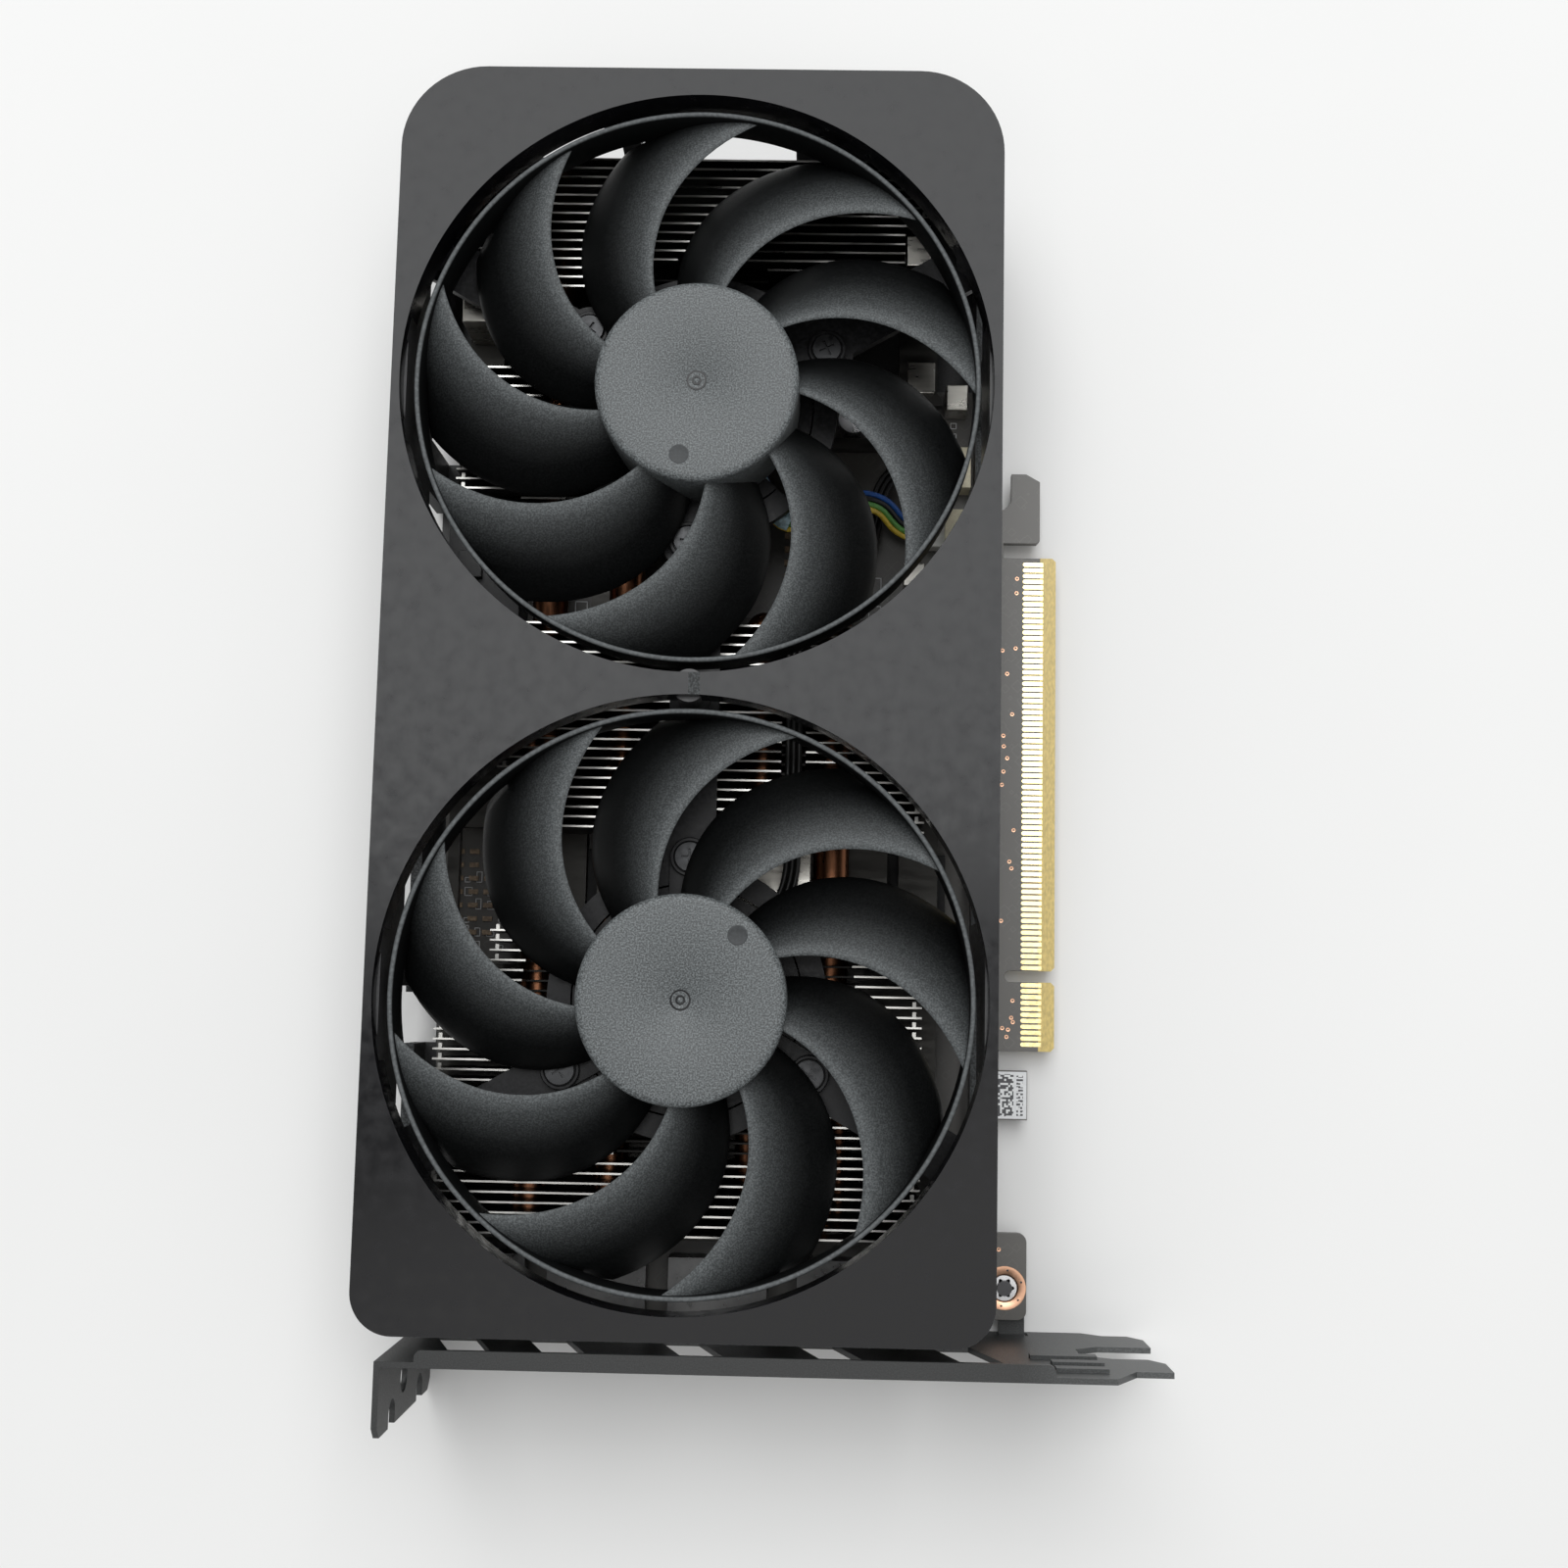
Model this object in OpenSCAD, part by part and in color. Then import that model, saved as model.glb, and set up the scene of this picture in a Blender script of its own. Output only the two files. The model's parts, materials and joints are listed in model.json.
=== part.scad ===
// Two-slot graphics card with two axial fans, lying on its backplate with the fans up.
// Millimetres. Origin: centre of the bounding box's footprint, on the resting surface.
// +X points to the edge connector, +Y to the end away from the slot bracket, +Z out of the fans.

/* [Shroud] */
// Width of the shroud across the card
shroud_w = 96.5; // [95:0.5:98]
// Length of the shroud
shroud_l = 199.3; // [197:0.1:201]
// Height of the shroud's front face above the resting surface
card_h = 40; // [40:0.5:44]
// Thickness of the shroud's walls
wall = 1.8; // [1.4:0.1:2.2]
// Corner radius at the exhaust end
far_corner_r = 13.5; // [8:0.5:18]
// Corner radius at the bracket end
near_corner_r = 6.5; // [3:0.5:10]

/* [Fans] */
// Diameter of each fan opening
opening_d = 93.8; // [91:0.2:94]
// Distance between the two fan axes
fan_pitch = 97.3; // [96.5:0.1:98.5]
// Diameter of the impeller's hub
hub_d = 32.5; // [31.5:0.1:33.5]
// Outer diameter of the ring that joins the blade tips
ring_d = 90; // [88:0.5:91]
// Number of blades on each impeller
blade_count = 9; // [7:1:11]
// Angle each blade covers round the axis
blade_chord_deg = 30; // [24:1:33]
// Rest angle of the near fan's first blade root
near_phase_deg = 24.4; // [0:0.1:40]
// Rest angle of the far fan's first blade root
far_phase_deg = 35.6; // [0:0.1:40]

/* [Board] */
// Thickness of the circuit board
board_t = 1.57; // [1.4:0.01:1.6]
// Height of the board's upper face above the resting surface
board_top = 4.6; // [4.4:0.1:4.8]
// Length of the circuit board along the card
board_l = 159.3; // [150:0.1:162]

/* [Bracket] */
// Overall length of the slot bracket, flange face to prong tips
bracket_l = 120.02; // [119.5:0.01:120.5]
// Width of the two-slot bracket
bracket_w = 38.74; // [38.5:0.01:39]
// Sheet thickness of the bracket
sheet = 0.9; // [0.8:0.05:1]
// Distance between neighbouring slots
slot_pitch = 20.32; // [20.3:0.01:20.34]

/* [Cooler] */
// Distance between neighbouring fins
fin_pitch = 1.6; // [1.5:0.05:2]
// Thickness of a fin
fin_t = 0.3; // [0.3:0.05:0.5]
// Diameter of the heat pipes
pipe_d = 6; // [5:0.5:6]

/* [Hidden] */
$fn = 48;
eps = 0.01;

// Outer faces of the card along X and Y
half_x = 62;
half_y = 107.25;
shroud_x0 = -half_x;
shroud_x1 = shroud_x0 + shroud_w;
shroud_y1 = half_y;
shroud_y0 = shroud_y1 - shroud_l;

// Fan axes
fan_x = shroud_x0 + shroud_w / 2;
far_fan_y = 55.9;
near_fan_y = far_fan_y - fan_pitch;
mid_y = (far_fan_y + near_fan_y) / 2;

// Heights of the stacked layers
backplate_t = 1;
board_bot = board_top - board_t;
frame_z0 = 7.2;
frame_z1 = 9.2;
cold_plate_z1 = 9.4;
pipe_z = cold_plate_z1 + pipe_d / 2 + 0.05;
fin_z0 = 9.7;
fin_z1 = 22.4;
arm_z0 = 22.8;
arm_z1 = 24.8;
plate_z0 = card_h - 2;

// Gaps in the left wall and the backplate's left edge, along Y
edge_gaps = [[-49.5, -41], [52.5, 58.5]];
edge_gap_x = -58.4;

// Heights inside a fan
board_z0 = 25.3;
rotor_z0 = 26.6;
hub_z0 = 26.1;
hub_z1 = card_h - 1;
hub_wall = 1.25;
ring_z0 = 31;
ring_z1 = 38.2;
ring_wall = 0.8;
lead_edge_z = 36.9;
trail_edge_z = 27.5;
shaft_r = 1.5;
sleeve_r = 2.6;

// Posts of the shroud: the fan frames hang from the first list, the backplate's
// screws go up into the second
frame_post_r = 51.2;
post_r = 2.6;
back_posts = [
    [shroud_x0 + 4.6, 99.6], [shroud_x1 - 4.6, 99.6],
    [shroud_x0 + 4, mid_y], [shroud_x1 - 4, mid_y],
    [shroud_x0 + 4, -79.5], [shroud_x1 - 4, -79.5]
];

// Edge connector, measured from the key notch
key_y = -36.3;
finger_edge_x = 47.3;
notch_w = 1.9;
long_tab = 71.65;
short_tab = 11.65;
connector_root_x = 38.2;
board_x0 = -57.5;
board_x1 = 35.5;
board_y0 = -93.3;
board_y1 = board_y0 + board_l;

// Processor, cold plate and the screws round them
core = [-6, -14];
core_screw = 27;

// Slot bracket
bracket_y0 = -96.68;
bracket_y1 = bracket_y0 + sheet;
bracket_x0 = -half_x + 3.98;
bracket_z0 = board_top - 3.95;
bracket_z1 = bracket_z0 + bracket_w;
notch_r = 2.21;
notch_y = -105.4;
notch_z = 9.13;
tab_hole = [39.2, -88.1];

// Sockets: centres along the bracket
hdmi_x = 12;
displayport_x = [-8.5, -28.5, -48.5];
socket_y0 = -97.3;
socket_y1 = -83.5;

// Heat pipes run along the card at these places
pipe_x = [-39.5, -26.5, -3, 9];

// Fin blocks
fin_x0 = -54.6;
fin_x1 = 23.9;
near_fins_y0 = -78.9;
near_fins_y1 = 20.2;
far_fins_y0 = 36;
far_fins_y1 = 100;
full_fins_y0 = 77.5;
left_fins_y1 = 63.5;
// no fins stand over the processor
core_gap = [-30.8, -13.8];
// the far fins start beside the power socket, and are full width past it
socket_fins_y1 = 42.2;
socket_fins_x0 = -43.6;
pocket_r = 27;
pocket_z = 17;

// Routes of the two fan leads, from the fan's own board to its socket
lead_d = 2.4;
near_lead = [
    [-5, -34, 24.6], [-5, -34, 22.4], [-3.6, -32, 20.9], [0, -27, 20.2], [2.5, -20, 20.2],
    [2.5, -5, 20.2], [2.5, 10, 20.2], [2.5, 20, 20.2], [4.6, 25.4, 18.8], [8.5, 29.4, 15.8],
    [12, 32.8, 12.6], [14.5, 36.6, 9.6], [15.6, 41.5, 8], [16.6, 47, 7.8], [19, 50.4, 8],
    [21.8, 51, 8], [23.2, 51, 8]
];
far_lead = [
    [-6.5, 49.8, 24.6], [-6.5, 49.8, 22.4], [-5, 46, 20.4], [0, 38.8, 19.2], [6, 40, 17.8],
    [12, 43, 16], [16.5, 43, 13], [19.6, 40.8, 9.6], [21.8, 40, 8], [23.2, 40, 8]
];
plug_y = [51, 40];
plug_x = 26;

// ---------- helpers ----------

function arc(c, r, a0, a1, n = 8) =
    [for (i = [0:n]) let (a = a0 + (a1 - a0) * i / n) [c[0] + r * cos(a), c[1] + r * sin(a)]];

// Rectangle whose corners are round: rn at the low-Y side, rf at the high-Y side
function round_rect(x0, y0, x1, y1, rn, rf) = concat(
    arc([x0 + rn, y0 + rn], rn, 180, 270), arc([x1 - rn, y0 + rn], rn, 270, 360),
    arc([x1 - rf, y1 - rf], rf, 0, 90), arc([x0 + rf, y1 - rf], rf, 90, 180));

module slab(pts, z0, z1) {
    translate([0, 0, z0]) linear_extrude(z1 - z0) polygon(pts);
}

module box(x0, y0, z0, x1, y1, z1) {
    translate([x0, y0, z0]) cube([x1 - x0, y1 - y0, z1 - z0]);
}

module post(p, r, z0, z1) {
    translate([p[0], p[1], z0]) cylinder(r = r, h = z1 - z0);
}

// A flat shape given in X and Z, standing along Y from y0 to y1
module upright(y0, y1) {
    translate([0, y1, 0]) rotate([90, 0, 0]) linear_extrude(y1 - y0) children();
}

// Screw with a cross recess; the head's top is at z = 0 and the shank goes down
module cross_screw(head_r, head_h, shank_r, shank_l) {
    slot = head_r * 1.15;
    difference() {
        union() {
            translate([0, 0, -head_h]) cylinder(r = head_r, h = head_h);
            translate([0, 0, -head_h - shank_l]) cylinder(r = shank_r, h = shank_l + eps);
        }
        for (a = [0, 90]) rotate([0, 0, a])
            translate([-slot / 2, -0.2, -head_h * 0.55]) cube([slot, 0.4, head_h]);
    }
}

// Outline of the shroud, moved inwards by d
function shroud_outline(d) = round_rect(
    shroud_x0 + d, shroud_y0 + d, shroud_x1 - d, shroud_y1 - d,
    near_corner_r - d, far_corner_r - d);

// Ends of a fan frame's arms: the middle post and two posts beside the fan
function arm_ends(fy, dir) = [
    [fan_x, mid_y],
    [fan_x + frame_post_r * cos(30), fy + dir * frame_post_r * sin(30)],
    [fan_x - frame_post_r * cos(30), fy + dir * frame_post_r * sin(30)]
];

// ---------- shroud, backplate ----------

module shroud() color([0.2, 0.2, 0.21]) {
    opening_r = opening_d / 2;
    collar_z0 = 34;
    window_z0 = 10;
    window_z1 = 22;
    difference() {
        union() {
            slab(shroud_outline(0), plate_z0, card_h);
            difference() {
                slab(shroud_outline(0), 1.4, plate_z0 + eps);
                slab(shroud_outline(wall), 1, plate_z0 + 1);
                // bracket end is open, so air leaves through the bracket
                box(shroud_x0 + 6, shroud_y0 - 1, 0, shroud_x1 - 6, shroud_y0 + 5, plate_z0);
                box(shroud_x0 - 1, shroud_y0 - 1, 0, shroud_x1 + 1, shroud_y0 + 8, 11);
                // connector side stops above the board
                box(shroud_x1 - 6, shroud_y0 - 1, 0, shroud_x1 + 1, board_y1 + 4, 6);
                // side windows beside the fins
                for (y = [-80, -28, 20, 66]) {
                    y1 = y == 66 ? 93 : (y == 20 ? 58 : y + 40);
                    box(shroud_x1 - 4, y, window_z0, shroud_x1 + 1, y1, window_z1);
                    if (y != 20)
                        box(shroud_x0 - 1, y, window_z0, shroud_x0 + 4, y1, window_z1);
                }
                // gaps down to the floor at the left edge
                for (y = edge_gaps) box(shroud_x0 - 1, y[0], 0, shroud_x0 + 4, y[1], 16);
                // room for the power plug
                box(shroud_x0 - 1, 19.5, 0, shroud_x0 + 4, 43.5, 16.2);
                // exhaust windows at the far end, with clipped upper corners
                for (x = [-42.75, -12.6]) translate([x, 0, 0])
                    upright(shroud_y1 - 8, shroud_y1 + 1)
                        polygon([[-13.4, 6], [13.4, 6], [13.4, 20], [10.4, 23], [-13.4, 23]]);
            }
            for (fy = [near_fan_y, far_fan_y]) intersection() {
                translate([fan_x, fy, collar_z0])
                    cylinder(r = opening_r + 1.1, h = plate_z0 - collar_z0 + eps, $fn = 96);
                box(fan_x - 45.8, fy - 60, collar_z0 - 1, fan_x + 45.8, fy + 60, card_h);
            }
            for (p = back_posts) post(p, post_r, backplate_t, plate_z0 + eps);
            for (p = arm_ends(near_fan_y, -1)) post(p, post_r, arm_z1, plate_z0 + eps);
            for (p = arm_ends(far_fan_y, 1)) post(p, post_r, arm_z1, plate_z0 + eps);
        }
        for (fy = [near_fan_y, far_fan_y])
            translate([fan_x, fy, collar_z0 - 4]) cylinder(r = opening_r, h = card_h, $fn = 96);
        for (p = back_posts) post(p, 0.9, 0, 9);
        for (p = concat(arm_ends(near_fan_y, -1), arm_ends(far_fan_y, 1)))
            post(p, 0.9, arm_z1 - 1, arm_z1 + 6);
    }
}

module backplate() color([0.16, 0.16, 0.17]) difference() {
    slab(round_rect(shroud_x0 + 1, shroud_y0 + 0.6, shroud_x1 - 0.5, shroud_y1 - 0.8,
        near_corner_r, far_corner_r), 0, backplate_t);
    // flow-through windows under the far fins
    for (x = [[-53.5, -31.5], [-28.2, 0.8], [4, 26]])
        slab(round_rect(x[0], 81, x[1], 97, 2, 2), -1, 2);
    // access to the cooler's spring screws
    for (x = [-1, 1], y = [-1, 1])
        post([core[0] + x * core_screw, core[1] + y * core_screw], 3.2, -1, 2);
    // countersunk seats of its screws
    for (p = back_posts) {
        post(p, 1, -1, 2);
        post(p, 2.05, -1, 0.5);
    }
    for (y = edge_gaps) box(-half_x - 1, y[0], -1, edge_gap_x, y[1], 2);
    // stiffening grooves
    for (y = [-78, -70, -62, 44, 50, 56])
        box(-48, y, -1, 20, y + 1.6, 0.3);
}

module backplate_screws() color([0.1, 0.1, 0.1])
    for (p = back_posts) translate([p[0], p[1], 0.03]) mirror([0, 0, 1])
        cross_screw(1.95, 0.45, 0.86, 7.6);

// ---------- board and what sits on it ----------

function tab(y0, y1) = [
    [connector_root_x - 2, y0], [finger_edge_x - 0.6, y0], [finger_edge_x, y0 + 0.6],
    [finger_edge_x, y1 - 0.6], [finger_edge_x - 0.6, y1], [connector_root_x - 2, y1]
];

module circuit_board() color([0.16, 0.15, 0.14]) difference() {
    union() {
        slab([[board_x0, board_y0], [41.5, board_y0], [42.85, -92], [42.85, -80.6], [42.4, -79.5],
            [41.3, -79.1], [board_x1, -79.1], [board_x1, -60.4], [42.83, -60.4], [42.83, -52.15],
            [board_x1, -52.15], [board_x1, board_y1], [board_x0, board_y1]], board_bot, board_top);
        // root of the edge connector, its two tabs and the retention hook
        box(board_x1 - 1, key_y - notch_w / 2 - short_tab, board_bot, connector_root_x, 44.9,
            board_top);
        slab(tab(key_y + notch_w / 2, key_y + notch_w / 2 + long_tab), board_bot, board_top);
        slab(tab(key_y - notch_w / 2 - short_tab, key_y - notch_w / 2), board_bot, board_top);
        slab([[37, 38.9], [44, 38.9], [44.5, 39.4], [44.5, 50], [42.1, 51.35], [39.5, 51.35],
            [39.5, 46.4], [38.8, 45.4], [37, 44.9]], board_bot, board_top);
    }
    // round end of the key notch
    translate([39.8, key_y, board_bot - 1]) cylinder(r = notch_w / 2, h = 4);
    box(39.8, key_y - notch_w / 2, board_bot - 1, 50, key_y + notch_w / 2, board_top + 1);
    post(tab_hole, 2.5, 0, 9);
    for (p = back_posts) post(p, 3.2, 0, 9);
    for (x = [-1, 1], y = [-1, 1])
        post([core[0] + x * core_screw, core[1] + y * core_screw], 1.7, 0, 9);
}

// Contacts are 1 mm apart on both faces, with a gap at the key notch
module edge_contacts() color([0.95, 0.78, 0.35]) {
    contact_w = 0.7;
    first_long = key_y + 0.5 + notch_w / 2;
    first_short = key_y - 0.5 - notch_w / 2;
    ys = concat([for (i = [0:70]) first_long + i], [for (i = [0:10]) first_short - i]);
    for (y = ys, z = [board_top, board_bot - 0.05])
        translate([41.6, y - contact_w / 2, z]) cube([3.6, contact_w, 0.05]);
}

module small_board_parts() color([0.5, 0.42, 0.33]) {
    for (i = [0:6], j = [0:2])
        box(-55.6 + j * 2.6, -31 + i * 2.3, board_top, -54 + j * 2.6, -30.2 + i * 2.3,
            board_top + 0.6);
    for (i = [0:5], j = [0:3])
        box(0 + j * 3, 27 + i * 2.4, board_top, 1.8 + j * 3, 28 + i * 2.4, board_top + 0.7);
    for (i = [0:5], j = [0:2])
        box(31 - j * 2.4, 24 + i * 2, board_top, 32.4 - j * 2.4, 24.9 + i * 2, board_top + 0.7);
    for (i = [0:7])
        box(-50 + i * 9, -80.4, board_top, -48 + i * 9, -79.4, board_top + 0.7);
}

module processor_substrate() color([0.1, 0.25, 0.16])
    box(core[0] - 18.75, core[1] - 18.75, board_top, core[0] + 18.75, core[1] + 18.75,
        board_top + 1.2);

module processor_die() color([0.45, 0.47, 0.5])
    box(core[0] - 6.5, core[1] - 7.5, board_top + 1.2, core[0] + 6.5, core[1] + 7.5,
        board_top + 2.1);

memory_places = [
    [core[0] - 28.5, core[1] - 9], [core[0] - 28.5, core[1] + 9],
    [core[0] + 28.5, core[1] - 9], [core[0] + 28.5, core[1] + 9]
];

module memory_chips() color([0.08, 0.08, 0.08])
    for (p = memory_places)
        box(p[0] - 6, p[1] - 7, board_top, p[0] + 6, p[1] + 7, board_top + 1.1);

// Four supply phases beside the far fins and three low coils near the bracket
phase_y = 42;
phase_pitch = 5.2;

module power_inductors() color([0.3, 0.3, 0.31]) {
    for (i = [0:3]) {
        y = phase_y + i * phase_pitch;
        box(-49, y, board_top, -43, y + 4.8, board_top + 4);
    }
    for (i = [0:2]) box(-52 + i * 8, -62, board_top, -45.5 + i * 8, -55.5, board_top + 2.4);
}

module power_stages() color([0.09, 0.09, 0.1])
    for (i = [0:3]) {
        y = phase_y + i * phase_pitch + 0.2;
        box(-40, y, board_top, -35.5, y + 4.4, board_top + 0.9);
    }

module capacitors() color([0.75, 0.75, 0.77])
    for (i = [0:5]) post([-20 + i * 7.9, 59.6], 2.6, board_top, board_top + 4.4);

// Eight-way power socket whose mouths face -X
socket_pos = [-57, 21.5, board_top];
module power_socket() color([0.1, 0.1, 0.11]) {
    depth = 12.4;
    difference() {
        translate(socket_pos) cube([depth, 19.4, 9.8]);
        for (i = [0:3], j = [0:1])
            translate(socket_pos + [-1, 1.6 + i * 4.2, 0.7 + j * 4.3]) cube([11, 3.6, 3.7]);
    }
    translate(socket_pos + [2, 7.4, 9.8]) cube([4, 4.6, 1.4]);
}

module power_socket_pins() color([0.8, 0.68, 0.38])
    for (i = [0:3], j = [0:1])
        translate(socket_pos + [4, 3.4 + i * 4.2 - 0.5, 2.55 + j * 4.3 - 0.5])
            cube([6, 1, 1]);

module socket_shell(x, w, h, chamfer) {
    z0 = board_top + 0.05;
    t = 0.4;
    difference() {
        upright(socket_y0, socket_y1) translate([x, z0]) polygon([
            [-w / 2 + chamfer, 0], [w / 2 - chamfer, 0], [w / 2, chamfer], [w / 2, h],
            [-w / 2, h], [-w / 2, chamfer]]);
        upright(socket_y0 - 1, socket_y1 - t) translate([x, z0]) polygon([
            [-w / 2 + chamfer + t / 3, t], [w / 2 - chamfer - t / 3, t],
            [w / 2 - t, chamfer + t / 3], [w / 2 - t, h - t], [-w / 2 + t, h - t],
            [-w / 2 + t, chamfer + t / 3]]);
    }
}

module hdmi_socket() color([0.78, 0.78, 0.8]) socket_shell(hdmi_x, 15, 5.6, 1.8);

module displayport_sockets() color([0.78, 0.78, 0.8])
    for (x = displayport_x) socket_shell(x, 16.4, 5.6, 1.2);

module socket_tongues() color([0.09, 0.09, 0.1])
    for (x = concat([hdmi_x], displayport_x))
        box(x - 5.6, socket_y0 + 3, board_top + 2.4, x + 5.6, socket_y1 - 0.4, board_top + 3.4);

module fan_sockets() color([0.9, 0.87, 0.76])
    for (y = plug_y) difference() {
        box(27.6, y - 3.6, board_top, 32, y + 3.6, board_top + 5);
        box(26, y - 3, board_top + 0.8, 31.2, y + 3, board_top + 4.4);
    }

module label() color([0.92, 0.93, 0.93])
    box(35.8, -60.2, board_top, 42.7, -52.35, board_top + 0.06);

// ---------- slot bracket ----------

module slot_bracket() color([0.17, 0.17, 0.18]) {
    tip = bracket_x0 + bracket_l;
    far_prong = [bracket_z0 + 2.3, bracket_z0 + 12.49];
    near_prong = [far_prong[0] + slot_pitch, far_prong[1] + slot_pitch];
    difference() {
        union() {
            upright(bracket_y0, bracket_y1) polygon([
                [bracket_x0, bracket_z0], [52.4, bracket_z0], [55.6, far_prong[0]],
                [tip - 2.2, far_prong[0]], [tip, far_prong[0] + 3], [tip, far_prong[1]],
                [53.3, far_prong[1]], [49.5, far_prong[1] + 2.6], [49.5, near_prong[0] - 2.6],
                [54.2, near_prong[0]], [tip - 2.2, near_prong[0]], [tip, near_prong[0] + 3],
                [tip, near_prong[1]], [56.3, near_prong[1]], [52.6, bracket_z1],
                [bracket_x0, bracket_z1]]);
            // flange with its screw notches
            box(bracket_x0, -half_y, bracket_z0, bracket_x0 + sheet, bracket_y1, bracket_z1);
            // folded lip along the upper edge
            slab(round_rect(-52.1, bracket_y0, 43.5, -94, 0.6, 1.2), bracket_z1 - sheet,
                bracket_z1);
            // bent tab under the board
            box(38.4, bracket_y1 - eps, bracket_z0 + 1.4, 42.7, -91, board_bot);
            box(33.5, -92, bracket_z0 + 1.4, 42.7, -82.5, board_bot);
            // embossed ribs
            for (z = [24, 29, 34]) upright(bracket_y1 - eps, bracket_y1 + 0.6)
                translate([z == 24 ? 41.2 : 44, z - 1.1]) square([z == 24 ? 10.4 : 8, 2.2]);
        }
        // clearance round the tab inside the plate
        for (x = [37.9, 42.7])
            box(x, bracket_y0 - 1, bracket_z0 + 1, x + 0.5, bracket_y1 + 1, board_bot + 1.5);
        // sockets
        translate([hdmi_x - 7.9, bracket_y0 - 1, board_top - 0.4]) cube([15.8, 4, 6.4]);
        for (x = displayport_x)
            translate([x - 8.5, bracket_y0 - 1, board_top - 0.4]) cube([17, 4, 6.4]);
        // slanted vents
        for (x = [-47.2, -32.6, -11.3, 10.2, 31.9]) upright(bracket_y0 - 1, bracket_y1 + 1)
            polygon([[x - 6.2, 16], [x + 0.4, 16], [x + 6.2, 33], [x - 0.4, 33]]);
        // screw notches and the round hole between them
        for (z = [notch_z, notch_z + slot_pitch]) {
            translate([bracket_x0 - 1, notch_y, z]) rotate([0, 90, 0])
                cylinder(r = notch_r, h = 4);
            box(bracket_x0 - 1, -half_y - 1, z - notch_r, bracket_x0 + 2, notch_y, z + notch_r);
        }
        translate([bracket_x0 - 1, -101.4, notch_z + 12.4]) rotate([0, 90, 0])
            cylinder(r = 2.4, h = 4);
        // clipped outer corners of the flange
        for (z = [bracket_z0, bracket_z1]) translate([bracket_x0 - 1, -half_y, z])
            rotate([45, 0, 0]) cube([4, 2.4, 2.4], center = true);
        post(tab_hole, 1.3, 0, board_bot + 1);
    }
}

module bracket_screw() color([0.7, 0.7, 0.72])
    translate([tab_hole[0], tab_hole[1], bracket_z0 + 1.4]) mirror([0, 0, 1])
        translate([0, 0, 0.9]) cross_screw(2.3, 0.9, 1.26, 3);

// ---------- cooler ----------

module cold_plate() color([0.8, 0.78, 0.74]) difference() {
    box(core[0] - 24.5, core[1] - 24, board_top + 2.15, core[0] + 24.5, core[1] + 24,
        cold_plate_z1);
    for (x = [-1, 1], y = [-1, 1]) translate([x * 24.5, y * 24, 0] + [core[0], core[1], 0])
        cylinder(r = 4, h = 20);
}

// Bridge over one pipe, which presses it on the cold plate
module pipe_clamp() color([0.78, 0.77, 0.74]) {
    x0 = -7.2;
    x1 = 5.6;
    z1 = 16.8;
    leg = 0.8;
    box(x0, core_gap[0] + 0.8, z1 - 1, x1, core_gap[1] - 0.4, z1);
    for (x = [x0, x1 - leg])
        box(x, core_gap[0] + 0.8, cold_plate_z1, x + leg, core_gap[1] - 0.4, z1 - 1 + eps);
}

module cooler_frame() color([0.72, 0.71, 0.69]) difference() {
    union() {
        slab(round_rect(-56, -81, 27, board_y1 - 1, 3, 3), frame_z0, frame_z1);
        // rails that reach past the board to the wide fins
        box(-55.6, 60, frame_z0, -49.6, 90, frame_z1);
        box(19.4, 62.5, frame_z0, 26, 90, frame_z1);
        for (x = [-1, 1], y = [-1, 1])
            post([core[0] + x * core_screw, core[1] + y * core_screw], 3.2, board_top,
                frame_z0 + eps);
    }
    box(core[0] - 26.4, core[1] - 24.4, 5, core[0] + 26.4, core[1] + 24.4, 12);
    // windows over taller parts of the board
    box(-52, 12, 5, -33, 63, 12);
    box(-26, 24, 5, 24, 54, 12);
    box(22, 24, 5, 30, 62, 12);
    box(-54, -36, 5, -42.5, -13, 12);
    box(-26, 56, 5, 24, 62.9, 12);
    box(-58, 20, 5, -44, 42.5, 12);
    for (p = back_posts) post(p, 3.2, 5, 12);
    for (x = [-1, 1], y = [-1, 1])
        post([core[0] + x * core_screw, core[1] + y * core_screw], 1.3, 3, frame_z1 - 0.6);
}

// Bright tabs that stand on the frame and on the board
module frame_tabs() color([0.8, 0.79, 0.76]) {
    box(-55, 71.8, frame_z1, -50.2, 81.4, 20.5);
    box(20, 82.6, frame_z1, 24, 88, 20.5);
    box(20.9, 64, frame_z1, 25.6, 69.5, 10);
    box(27.6, 61, board_top, 31.4, 65.6, 10);
    box(20.6, 30, board_top, 24.2, 34.1, 9.2);
}

module heat_pipes() color([0.72, 0.42, 0.26])
    for (x = pipe_x) {
        r = pipe_d / 2;
        y0 = near_fins_y0 + 3;
        y1 = x > -20 ? near_fins_y1 + 1 : far_fins_y1 - 5;
        translate([x, y1, pipe_z]) rotate([90, 0, 0]) cylinder(r = r, h = y1 - y0);
        for (y = [y0, y1]) translate([x, y, pipe_z]) sphere(r = r);
    }

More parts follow.
